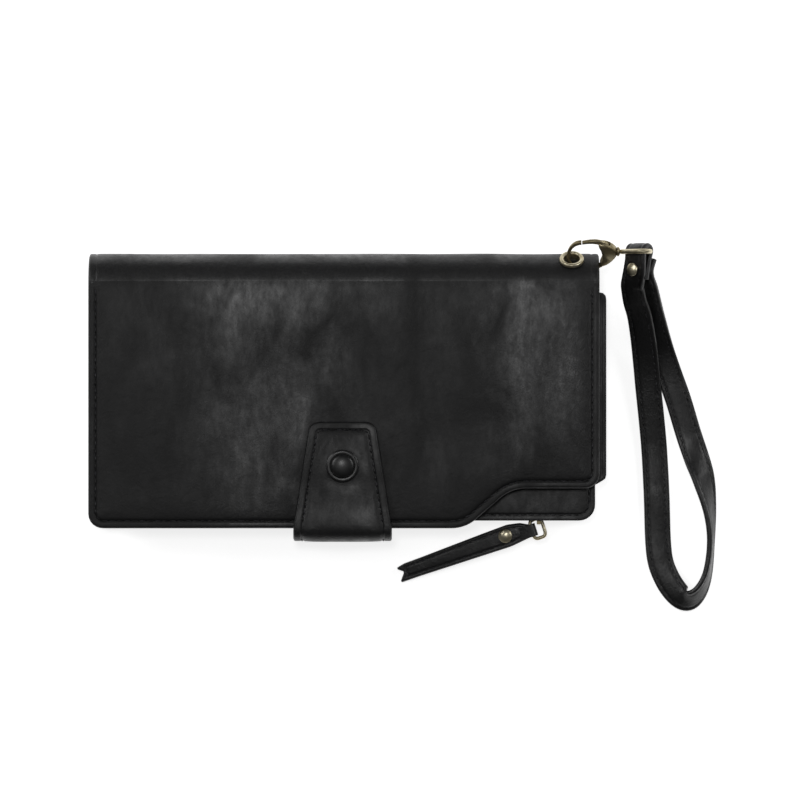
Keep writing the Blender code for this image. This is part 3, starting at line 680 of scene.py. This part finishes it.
# ================= inside panels =================
def make_inside_panels():
    """Walls of the zipped pocket and the card leaf."""
    right, low, high, left = pocket_high.x, pocket_low.y, pocket_high.y, pocket_low.x
    outline = rounded([(left, low, 4), (right, low, 6), (right, high, 2), (left, high, 2)])
    front = leather_panel("pocket_front_leather", outline, TRIM_LEATHER, pocket_high.z - 0.2,
                          pocket_low.z, border_relief(2.3, 0.25, 0.12, 0.28, 4.0, 0.3))
    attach(front, "wallet_body")
    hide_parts("zip_pocket_front")
    rows = flat_stitches("pocket_front_stitches", outline, 2.3, pocket_high.z - 0.3,
                         lambda x, y: y < high - 4)
    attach(rows, "wallet_body")
    back = leather_panel("pocket_back_leather", outline, TRIM_LEATHER, -pocket_back_low.z - 0.2,
                         -pocket_back_high.z, border_relief(2.3, 0.1, 0.05, 0.25, 6.0, 0.3),
                         lambda x, y, z: Vector((x, y, -z)), grid=6.0, spacing=2.5)
    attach(back, "wallet_body")
    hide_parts("zip_pocket_back")
    outline = rounded([(leaf_low.x, leaf_low.y, 3), (97, leaf_low.y, 2), (leaf_high.x, -34.0, 2),
                       (leaf_high.x, leaf_high.y, 2.3), (leaf_low.x, leaf_high.y, 1)])
    leaf = leather_panel("card_leaf_leather", outline, TRIM_LEATHER, leaf_high.z, leaf_low.z,
                         border_relief(2.0, 0.0, 0.0, 0.3, 8.0, 0.6), grid=6.0)
    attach(leaf, "card_leaf")
    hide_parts("card_leaf_panel")


def sewn_sheet(node, body, finish, outline=None, facing=1, stitch_at=1.3, puff=0.12):
    """Thin sheet in place of a flat one, with its sewn border on the side that shows."""
    low, high = corner_box(node)
    outline = outline or rounded_box(low, high, 1.5, 4)
    face, back = (high.z, low.z) if facing > 0 else (-low.z, -high.z)
    relief = border_relief(stitch_at, puff, puff * 0.4, 0.1, low.y, 0.18)
    sheet = leather_panel(node + "_sheet", outline, finish, face - puff * 0.6, back, relief,
                          lambda x, y, z: Vector((x, y, z * facing)), grid=6.0, spacing=2.0)
    rows = flat_stitches(node + "_stitches", outline, stitch_at, (face - puff * 0.6 - 0.05) * facing,
                         lambda x, y: y < high.y - 2.0, Vector((0, 0, facing)))
    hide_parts(node)
    for piece in (sheet, rows):
        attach(piece, body)


def soft_strip(node, finish, fold, wave):
    """Cloth strip on edge: folded inwards along its middle, and never quite straight."""
    low, high = corner_box(node)
    size = high - low
    thin, tall, long = sorted(range(3), key=lambda axis: size[axis])
    stations, rows = 48, 8
    rings = []
    for i in range(stations + 1):
        along = low[long] + size[long] * i / stations
        ring = []
        for side, steps in ((-1, range(rows + 1)), (1, range(rows, -1, -1))):
            for k in steps:
                share = k / rows
                point = Vector()
                point[long] = along
                point[tall] = low[tall] - 0.25 + (size[tall] + 0.5) * share
                ripple = wave * noise.noise(Vector((along / 9, share * 2, low.x)))
                point[thin] = (low[thin] + high[thin]) / 2 + side * 0.22
                point[thin] += (fold + ripple) * (1 - abs(2 * share - 1))
                ring.append(point)
        rings.append(ring)
    strip = loft(node + "_cloth", rings, finish, sharp=60)
    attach(strip, "wallet_body")
    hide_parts(node)


def make_window_frame():
    """Flat leather frame round the photo window, with rounded edges."""
    low, high = corner_box("photo_window_frame")
    border = Vector((5, 5, 0))
    outer = rounded_box(low, high, 3, 6)
    inner = rounded_box(low + border, high - border, 2, 6)
    rings = []
    for a, b in zip(outer, inner):
        ring = []
        for share, z in ((0, low.z), (0, high.z - 0.2), (0.06, high.z), (0.3, high.z - 0.1), (0.94, high.z),
                         (1, high.z - 0.2), (1, low.z)):
            spot = a.lerp(b, share)
            ring.append((spot.x, spot.y, z))
        rings.append(ring)
    piece = loft("photo_window_border", rings, TRIM_LEATHER, closed=True, sharp=50)
    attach(piece, "card_leaf")
    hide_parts("photo_window_frame")


def make_spine_lining():
    """Lining inside the spine, a little slack so that it ripples."""
    low, high = corner_box("spine_lining")
    stations, outer, inner, slack = 59, 10.2, 9.8, 0.25
    rings = []
    for i in range(stations + 1):
        x = low.x + (high.x - low.x) * i / stations
        ring = []
        for radius, steps in ((outer, range(4, 33)), (inner, range(32, 3, -1))):
            for k in steps:
                angle = math.pi * k / 36
                reach = radius - slack * abs(noise.noise(Vector((x / 8, k / 5, 2))))
                ring.append((x, SPINE_Y + reach * math.sin(angle), SPINE_RADIUS - reach * math.cos(angle)))
        rings.append(ring)
    piece = loft("spine_lining_cloth", rings, LINING, sharp=60)
    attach(piece, "wallet_body")
    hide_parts("spine_lining")


def make_inside_sheets():
    """Card pockets, linings, gussets and zip tapes."""
    for number in (1, 2, 3):
        sewn_sheet(f"card_leaf_pocket_{number}", "card_leaf", TRIM_LEATHER)
    for number in (1, 2, 3, 4):
        sewn_sheet(f"front_card_pocket_{number}", "front_cover", TRIM_LEATHER, facing=-1,
                   puff=0.08)
    low, high = corner_box("front_lining")
    outline = rounded([(low.x, low.y, 4.5), (46.3, low.y, 13.0), (64.2, -36.2, 15.0), (high.x, -36.2, 4.5),
                       (high.x, high.y, 1.0), (low.x, high.y, 1.0)])
    sewn_sheet("front_lining", "front_cover", LINING, outline, -1, 1.8, 0.06)
    low, high = corner_box("back_lining")
    outline = rounded([(low.x, low.y, 4.0), (41.0, low.y, 4.0), (47.0, low.y + 3, 4.0),
                       (high.x, low.y + 3, 4.0), (high.x, high.y, 1.0), (low.x, high.y, 1.0)])
    sewn_sheet("back_lining", "wallet_body", LINING, outline, 1, 1.8, 0.1)
    make_window_frame()
    soft_strip("gusset_left", LINING, 1.6, 0.5)
    soft_strip("gusset_right", LINING, -1.6, 0.5)
    soft_strip("pocket_fold", LINING, -1.6, 0.5)
    soft_strip("zip_tape_front", TAPE, 0.0, 0.25)
    soft_strip("zip_tape_back", TAPE, 0.0, 0.25)
    make_spine_lining()


# ================= closure tab =================
TAB_PATH = smooth_path([(-51.0, 1.9), (-54.6, 2.0), (-56.6, 4.2), (-57.0, 8.0), (-57.0, 14.0), (-57.0, 20.0),
                        (-56.6, 23.2), (-54.4, 25.3), (-50.5, 25.6), (-44.0, 25.4), (-36.0, 25.5),
                        (-29.1, 25.7), (-22.0, 25.3), (-16.0, 24.7), (-12.1, 24.3)], 6)


def tab_frame():
    """Length along the tab's path, with its place and its outward direction."""
    points = np.array([tuple(p) for p in TAB_PATH])
    lengths = np.r_[0, np.cumsum(np.linalg.norm(np.diff(points, axis=0), axis=1))]
    ahead = np.gradient(points, axis=0)
    ahead /= np.linalg.norm(ahead, axis=1)[:, None]
    out = np.stack([-ahead[:, 1], ahead[:, 0]], axis=1)
    return points, lengths, out


def tab_place(x, s, z):
    """World point at x, at a length s along the tab and a height z above its middle."""
    points, lengths, out = TAB_FRAME
    y = np.interp(s, lengths, points[:, 0]) + z * np.interp(s, lengths, out[:, 0])
    height = np.interp(s, lengths, points[:, 1]) + z * np.interp(s, lengths, out[:, 1])
    return Vector((x, y, height))


TAB_FRAME = tab_frame()


def make_tab():
    """Tab that wraps round the open edge, with stitches on its face and on its upright part."""
    length = TAB_FRAME[1][-1]
    flat_start = 31.0
    wide, narrow = 18.9, 12.4
    outline = rounded([(-wide, 0.5, 0), (wide, 0.5, 0), (wide, flat_start, 40), (narrow + 0.2, length, 4.5),
                       (-narrow - 0.2, length, 4.5), (-wide, flat_start, 40)])
    relief = border_relief(TAB_STITCH_AT, 0.28, 0.10, 0.45, 2.0)

    def snap_relief(d, x, s):
        place = tab_place(x, s, 0)
        from_snap = math.hypot(place.x - SNAP.x, place.y - SNAP.y)
        dish = 0.35 * math.exp(-((from_snap - 7.2) / 1.1) ** 2)
        return relief(d, x, s) - (dish if s > flat_start else 0)
    tab = leather_panel("closure_tab_leather_cover", outline, TRIM_LEATHER, 0.95, -0.75, snap_relief,
                        tab_place, grid=1.8, spacing=1.0)
    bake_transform(tab)
    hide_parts("closure_tab_leather", "closure_tab_lining", "closure_tab_fold")
    path = resample(inset_path(resample(outline, 0.6), TAB_STITCH_AT), 0.6)
    kept = [tuple(tab_place(x, s, 0.82)) for x, s in path if s > flat_start + 1.0]
    pitch = 2.7
    rows = stitch_row("closure_tab_stitches", after_gap(kept), lambda p: Vector((0, 0, 1)), pitch=pitch)
    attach(rows, "closure_tab")
    low = [tuple(tab_place(x, s, 0.85)) for x, s in path if 6 < s < flat_start - 5 and x > 0]
    for side, name in ((1, "right"), (-1, "left")):
        rows = stitch_row(f"closure_tab_side_stitches_{name}", [(x * side, y, z) for x, y, z in low],
                          lambda p: Vector((0, -1, 0)), pitch=pitch)
        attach(rows, "wallet_body")


def make_snap():
    """Enamelled cap with a flat turned rim and a soft dome."""
    base, radius, inner = 26.5, 6.3, 4.5
    rim = arc(radius - 0.3, base + 0.3, 0.3, -90, 60, 5)
    rim += [(inner + 0.9, base + 0.75), (inner + 0.2, base + 0.6)]
    dome = [(inner * math.cos(math.radians(a)), base + 0.9 + 1.3 * math.sin(math.radians(a)) ** 0.8)
            for a in range(0, 90, 7)]
    cap = turned("snap_cap_dome", [(0, base)] + rim + dome + [(0, base + 2.2)],
                 (SNAP.x, SNAP.y, 0), (0, 0, 1), ENAMEL, 72, sharp=50)
    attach(cap, "closure_tab")
    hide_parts("snap_cap")
    middle, bead = 24.35, 0.38
    ring = arc(4.6, middle, bead, -90, 90, 6) + arc(2.9, middle, bead, 90, 270, 6)
    socket = turned("snap_socket_ring", ring, (SNAP.x, SNAP.y, 0), (0, 0, 1), BRASS, 48)
    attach(socket, "closure_tab")
    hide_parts("snap_socket")


# ================= eyelet and clasp =================
def eyelet_point(x, out, side=0.0):
    """Point at x, out from the spine's centre line along the eyelet's axis, and to the clasp's side."""
    return Vector((x, 0, 0)) + SPINE_AXIS + EYELET_OUT * out + CLASP_SIDE * side


def make_eyelet():
    """Rolled flange on the spine with a short barrel through it."""
    flange = arc(3.85, 12.0, 0.85, 0, 180, 12)
    profile = [(4.7, 11.5)] + flange + [(2.95, 11.6), (2.9, 9.4), (3.2, 9.4), (3.2, 11.5)]
    eyelet = turned("eyelet_rim", profile, eyelet_point(EYELET_X, 0), EYELET_OUT, BRIGHT_BRASS, 64)
    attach(eyelet, "wallet_body")
    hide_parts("eyelet")


def make_clasp():
    """Trigger hook: wire arm through the eyelet, shell-shaped body and a sprung gate on top."""
    centre_x, reach, rise, middle = 91.3, 4.8, 6.6, 13.6
    hook = smooth_path([(101.0, 11.0), (99.4, 9.6), (97.8, 8.5), (96.0, 7.5), (94.0, 7.15)], 4)
    for k in range(30):
        angle = math.radians(-92 - 180 * k / 29)
        hook.append(Vector((centre_x + reach * math.cos(angle), middle + rise * math.sin(angle))))
    count = len(hook)
    radii = [0.95 - 0.3 * math.sin(math.pi * min(max((k / count - 0.5) / 0.4, 0), 1)) for k in range(count)]
    piece = wire("clasp_hook_wire", [eyelet_point(x, h) for x, h in hook], radii, BRASS)
    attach(piece, "clasp")
    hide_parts("clasp_hook")
    outline = smooth_path([(99.0, 9.2), (101.2, 10.2), (103.4, 12.2), (104.8, 14.2), (105.0, 15.8),
                           (104.8, 17.3), (103.2, 19.0), (100.9, 20.2), (98.4, 20.4), (98.0, 19.2),
                           (98.9, 17.2), (99.5, 14.8), (99.5, 12.6), (98.8, 10.6), (99.0, 9.2)], 3)[:-1]
    core = Vector((101.8, 15.2))
    rings = []
    for m, size in ((-2.1, 0.72), (-1.85, 0.9), (-1.2, 1.0), (1.2, 1.0), (1.85, 0.9), (2.1, 0.72)):
        rings.append([eyelet_point(*(core + (spot - core) * size), m) for spot in outline])
    body = loft("clasp_body_casting", rings, BRASS, sharp=50)
    slot = [(97.0, 16.9), (102.5, 16.9), (102.5, 22.0), (97.0, 22.0)]
    half_slot = 1.05
    cutter = loft("clasp_slot_tool",
                  [[eyelet_point(x, h, m) for x, h in slot] for m in (-half_slot, half_slot)], BRASS)
    cut_away(body, cutter, "gate_slot")
    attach(body, "clasp")
    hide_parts("clasp_body")
    # lever: a bar that arches from the hook's tip and deepens at its pin
    lever = smooth_path([(91.75, 20.15), (94.5, 20.6), (97.0, 20.6), (99.2, 20.0), (100.6, 19.2),
                         (101.8, 18.9)], 4)
    depth = [0.7, 0.9, 1.1, 1.25, 1.4, 1.0]
    half_width, sides = 0.85, 14
    rings = []
    for i, (x, h) in enumerate(lever):
        thick = np.interp(i, np.linspace(0, len(lever) - 1, len(depth)), depth)
        turns = [math.tau * k / sides for k in range(sides)]
        rings.append([eyelet_point(x, h + thick * math.sin(t), half_width * math.cos(t)) for t in turns])
    gate = loft("clasp_gate_lever", rings, BRASS, sharp=50)
    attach(gate, "clasp_gate")
    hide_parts("clasp_gate")


def make_swivel():
    """Turning knob at the clasp's neck and the D-shaped eye that holds the strap."""
    neck = eyelet_point(0, NECK_H)
    profile = [(0, 103.4), (0.9, 103.4), (0.9, 105.0)] + arc(1.3, 105.55, 0.55, -90, 60, 6)
    profile += [(0.8, 106.4), (0, 106.5)]
    post = turned("swivel_knob", profile, (0, neck.y, neck.z), (1, 0, 0), BRASS, 40)
    half, depth = 6.25, 5.0
    flat = rounded([(-half, 0, 0.9), (half, 0, 1.6), (half, depth, 2.4), (-4.0, depth + 0.4, 1.4),
                    (-half, 3.2, 1.0)], 8)
    path = resample([STRAP_BAR + BAR_ALONG * u + BAR_LEAN * v for u, v in flat], 0.5)
    eye = wire("swivel_d_eye", list(path), 0.95, BRIGHT_BRASS, closed=True)
    for piece, node in ((post, "swivel_post"), (eye, "swivel_eye")):
        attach(piece, "swivel")
        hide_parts(node)


# ================= wrist strap =================
# Route from the rivet round the loop and back: x, y, lift above rest, bank in degrees
STRAP_ROUTE = [
    (111.2, 40.2, 14.8, 40), (112.3, 34.5, 11.7, 36), (114.2, 28.4, 8.8, 30),
    (115.8, 19.9, 5.8, 20), (117.0, 10.3, 3.6, 10), (118.0, 0.4, 2.3, 4),
    (119.6, -14.6, 1.0, 0), (120.5, -25.3, 0.3, 0), (121.3, -41.0, 0.1, 0),
    (121.8, -57.5, 0.1, 0), (122.8, -66.3, 0.1, 0), (125.3, -72.8, 0.1, 4),
    (128.4, -77.6, 0.1, 14), (131.8, -80.6, 0.2, 30), (135.2, -80.4, 0.3, 48),
    (138.6, -76.6, 0.3, 64), (141.0, -69.6, 0.2, 76), (142.1, -58.0, 0.2, 80),
    (141.6, -46.7, 0.2, 66), (139.3, -34.5, 0.2, 34), (136.6, -25.9, 0.1, 10),
    (133.5, -16.5, 0.1, 0), (129.7, -3.8, 0.1, 0), (125.9, 6.9, 0.1, -2),
    (122.4, 17.2, 1.3, -10), (119.2, 28.7, 5.7, -26), (116.9, 38.3, 10.8, -38),
    (115.5, 43.0, 13.2, -42), (115.3, 46.6, 13.7, -42), (116.4, 50.6, 13.0, -42),
]


def bar_shifted(y):
    """The layers under the bar lean a little towards the wallet."""
    return Vector((STRAP_BAR.x - 0.14 * (STRAP_BAR.y - y), y, STRAP_BAR.z))


def strap_sections():
    """Centre and half-width direction all the way: tail, fold over the bar, loop and cut end."""
    sections = []
    pared = BAR_ALONG * STRAP_PARED
    for y, out, width in ((42.8, -1.25, BAR_ALONG), (46.2, -1.25, BAR_ALONG), (50.0, -1.7, pared)):
        sections.append((bar_shifted(y) + BAR_LEAN * out, width))
    for k in range(17):
        angle = math.radians(-80 + 160 * k / 16)
        spoke = Vector((0, math.cos(angle), 0)) + BAR_LEAN * math.sin(angle)
        sections.append((STRAP_BAR + spoke * STRAP_FOLD_RADIUS, pared))
    for y, out, width in ((50.0, 1.7, pared), (46.2, 1.25, BAR_ALONG)):
        sections.append((bar_shifted(y) + BAR_LEAN * out, width))
    curve = smooth_path(STRAP_ROUTE, 6)
    for i, (x, y, lift, bank) in enumerate(curve):
        before, after = curve[max(i - 1, 0)], curve[min(i + 1, len(curve) - 1)]
        along = Vector((after[0] - before[0], after[1] - before[1], 0)).normalized()
        level = Vector((0, 0, 1)).cross(along)
        tilt = math.radians(bank)
        rest = abs(math.sin(tilt)) * STRAP_WIDTH / 2 + math.cos(tilt) * STRAP_THICKNESS / 2
        width = level * math.cos(tilt) + Vector((0, 0, math.sin(tilt)))
        sections.append((Vector((x, y, rest + lift)), width))
    return sections


def strap_axes(sections, i):
    """Centre, sideways direction with its stretch, and outward direction of one section."""
    along = sections[min(i + 1, len(sections) - 1)][0] - sections[max(i - 1, 0)][0]
    along.normalize()
    centre, width = sections[i]
    side = (width - along * width.dot(along)).normalized()
    return centre, side * width.length, along.cross(side)


def strap_profile(half_width, half_thick):
    """Double leather in section: rounded edges, grooves where it is sewn and a soft middle."""
    across = [-1, -0.965, -0.88, -0.74, -0.66, -0.58, -0.4, 0, 0.4, 0.58, 0.66, 0.74, 0.88, 0.965, 1]
    rise = [0.35, 0.72, 0.95, 0.88, 0.72, 0.88, 0.98, 1.0, 0.98, 0.88, 0.72, 0.88, 0.95, 0.72, 0.35]
    top = [(a * half_width, r * half_thick) for a, r in zip(across, rise)]
    bottom = [(a * half_width, -r * half_thick) for a, r in zip(reversed(across), reversed(rise))]
    return top + bottom


def make_strap():
    """Looped strap with a stitch row near each edge on both faces, and its rivet."""
    stitch_at, stitch_out, stitch_length, thread = 0.66, 0.78, 1.9, 0.24
    sections = strap_sections()
    profile = strap_profile(STRAP_WIDTH / 2, STRAP_THICKNESS / 2)
    rings = []
    rows = {(-1, 1): [], (1, 1): [], (-1, -1): [], (1, -1): []}
    for i in range(len(sections)):
        centre, side, face = strap_axes(sections, i)
        rings.append([centre + side * u + face * v for u, v in profile])
        for (across, out), row in rows.items():
            spot = centre + side * across * stitch_at * STRAP_WIDTH / 2
            spot = spot + face * out * stitch_out * STRAP_THICKNESS / 2
            row.append((spot, face * out))
    strap = loft("wrist_strap_leather", rings, STRAP_LEATHER, sharp=70)
    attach(strap, "wrist_strap")
    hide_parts("wrist_strap")
    for number, row in enumerate(rows.values()):
        shape = bmesh.new()
        points = resample([p for p, _ in row], 2.6, closed=False)
        spots = np.array([tuple(p) for p, _ in row])
        for a, b in zip(points, points[1:]):
            middle = (Vector(a) + Vector(b)) / 2
            nearest = int(np.argmin(((spots - np.array(middle)) ** 2).sum(1)))
            ahead = (Vector(b) - Vector(a)).normalized()
            up = row[nearest][1]
            up = (up - ahead * up.dot(ahead)).normalized()
            capsule(shape, middle, ahead, up, stitch_length, thread)
        piece = finish_mesh(f"wrist_strap_stitches_{number + 1}", shape, THREAD_FINISH, sharp=80)
        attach(piece, "wrist_strap")
    spot = bar_shifted(46.2)
    dome = [(0, 0)] + arc(2.15, 0.35, 0.4, -60, 70, 5) + [(1.8, 0.95), (1.0, 1.2), (0, 1.3)]
    for name, sign, out in (("strap_rivet_cap", 1, 2.45), ("strap_rivet_back", -1, 5.4)):
        piece = turned(name + "_dome", dome, spot + BAR_LEAN * sign * out, BAR_LEAN * sign, BRIGHT_BRASS, 40)
        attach(piece, "wrist_strap")
        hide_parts(name)


# ================= zip pull =================
def pull_frame():
    """Directions along the sloping pull and up from its face."""
    fall = math.asin(PULL_DROP / PULL_LENGTH)
    direction = PULL_DIRECTION * math.cos(fall) - Vector((0, 0, 1)) * math.sin(fall)
    up = direction.cross(PULL_ACROSS).normalized()
    return direction, up if up.z > 0 else -up


def make_pull():
    """Leather pull with a notched end, its fold round the ring, its rivet and its stitches."""
    direction, up = pull_frame()

    def place(u, w, v):
        sway = 0.5 * math.sin(u / 14)
        return PULL_BAR + direction * u + PULL_ACROSS * w + up * (v + sway * min(u / 10, 1))
    tip = PULL_LENGTH + 0.3
    outline = rounded([(0.3, -2.3, 0.4), (tip - 46, -3.5, 20), (tip - 9, -3.45, 8), (tip, -3.6, 0.5),
                       (tip - 3.0, 0.1, 0.4), (tip, 2.3, 0.5), (tip - 4.0, 3.2, 3), (tip - 11, 3.45, 8),
                       (tip - 36, 4.7, 40), (8.5, 5.1, 6.0), (3.6, 4.2, 1.5), (0.3, 2.5, 0.5)], 5)
    relief = border_relief(PULL_STITCH_AT, 0.12, 0.05, 0.26, 9.0)
    strip = leather_panel("pull_strip_leather", outline, STRAP_LEATHER, 1.05, -0.95, relief, place,
                          grid=1.5, spacing=0.8)
    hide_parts("zip_pull_leather")
    outside, inside, tail = 1.95, 0.98, 5.5
    turns = [math.pi / 2 + math.pi * k / 16 for k in range(17)]
    fold = [(math.cos(angle), math.sin(angle)) for angle in turns]
    loop = [(tail, 1.0)] + [(x * outside, z * outside) for x, z in fold] + [(tail, -1.0), (tail, -0.1)]
    loop += [(x * inside, z * inside) for x, z in reversed(fold)] + [(tail, 0.1)]
    rings = [[PULL_BAR + direction * u + up * v + PULL_ACROSS * w for u, v in loop]
             for w in (-2.4, -2.25, 2.25, 2.4)]
    neck = loft("pull_fold_leather", rings, STRAP_LEATHER, sharp=50)
    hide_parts("zip_pull_fold")
    spot = place(10.2, 1.2, 0)
    rivet = turned("pull_rivet_dome", [(0, -1.9), (2.2, -1.9), (2.2, -1.1), (0.8, -1.0), (0.8, 0.8)]
                   + arc(2.3, 1.15, 0.4, -60, 70, 5) + [(1.7, 1.9), (1.0, 2.1), (0, 2.2)], spot, up,
                   BRIGHT_BRASS, 40)
    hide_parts("zip_pull_rivet")
    path = inset_path(resample(outline, 0.5), PULL_STITCH_AT)
    kept = [tuple(place(u, w, 0.92)) for u, w in resample(path, 0.5) if u > 4.5]
    rows = stitch_row("pull_strip_stitches", kept, lambda p: up, pitch=2.2, closed=True, radius=0.2)
    for piece in (strip, neck, rivet, rows):
        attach(piece, "zip_pull")


def make_pull_ring():
    """Squarish wire ring between the slider and the pull."""
    half_long, half_wide = 2.4, 3.7
    centre = PULL_BAR - PULL_DIRECTION * half_long
    path = []
    for k in range(64):
        angle = math.tau * k / 64
        c, s = math.cos(angle), math.sin(angle)
        reach = math.copysign(abs(c) ** 0.5, c)
        rise = math.copysign(abs(s) ** 0.5, s)
        path.append(centre + PULL_DIRECTION * half_long * reach + PULL_ACROSS * half_wide * rise)
    ring = wire("pull_ring_wire", list(resample(path, 0.4)), 0.7, BRIGHT_BRASS, closed=True)
    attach(ring, "zip_ring")
    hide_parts("zip_pull_ring")


# ================= carried-over nodes =================
def finish_frame_nodes():
    """Gives every node that keeps its own shape the finish of its material slot."""
    finishes = {"leather": TRIM_LEATHER, "lining": LINING, "board": BOARD, "brass": BRASS,
                "zip_tape": TAPE, "window": FILM, "snap_cap": ENAMEL}
    slots = {part["node"]: part["material_slot"] for part in frame["record"]["subparts"]}
    for node, piece in frame["nodes"].items():
        for slot in piece.material_slots:
            slot.material = finishes[slots[node]]


# ================= light, floor and camera =================
def area_light(name, place, size, power, target=(0.02, 0, 0)):
    """Rectangular soft light that faces the middle of the wallet; sizes and places in metres."""
    data = bpy.data.lights.new(name, "AREA")
    data.shape = "RECTANGLE"
    data.size, data.size_y = size
    data.energy = power
    made = bpy.data.objects.new(name, data)
    made.location = place
    made.rotation_euler = (Vector(target) - Vector(place)).to_track_quat("-Z", "Y").to_euler()
    bpy.context.collection.objects.link(made)


def make_studio():
    """Pale paper floor, three soft lights and a camera straight above."""
    scene = bpy.context.scene
    shape = bmesh.new()
    bmesh.ops.create_grid(shape, x_segments=1, y_segments=1, size=3.0)
    bmesh.ops.translate(shape, verts=shape.verts, vec=(0, 0, -0.0004))
    paper, _, shader, _ = start_material("white_paper", Roughness=0.9, Emission_Strength=0.8)
    shader.inputs["Base Color"].default_value = colour("#F4F4F4")
    shader.inputs["Emission Color"].default_value = (1, 1, 1, 1)
    floor = finish_mesh("floor", shape, paper)
    world = bpy.data.worlds.new("studio")
    world.use_nodes = True
    world.node_tree.nodes["Background"].inputs["Color"].default_value = (1, 1, 1, 1)
    world.node_tree.nodes["Background"].inputs["Strength"].default_value = 0.06
    scene.world = world
    area_light("left_softbox", (-0.9, 0.5, 0.9), (0.6, 0.6), 4)
    area_light("right_softbox", (1.0, 0.45, 0.8), (0.5, 0.5), 3.2)
    area_light("overhead_softbox", (-0.12, 0.32, 2.4), (0.35, 0.35), 6.5)
    camera = bpy.data.cameras.new("camera")
    height, frame_width = 2.2, 0.3065
    camera.sensor_width = 36
    camera.lens = 36 * (height - THICKNESS * MM) / frame_width
    camera.clip_end = 20
    made = bpy.data.objects.new("camera", camera)
    made.location = (0.0220, -0.0038, height)
    scene.collection.objects.link(made)
    scene.camera = made
    scene.view_settings.view_transform = "Standard"


make_covers()
spine = make_spine()
punch(spine, eyelet_point(EYELET_X, 10), EYELET_OUT, EYELET_HOLE)
make_inside_panels()
make_inside_sheets()
make_tab()
make_snap()
make_eyelet()
make_clasp()
make_swivel()
make_strap()
make_pull()
make_pull_ring()
finish_frame_nodes()
make_studio()
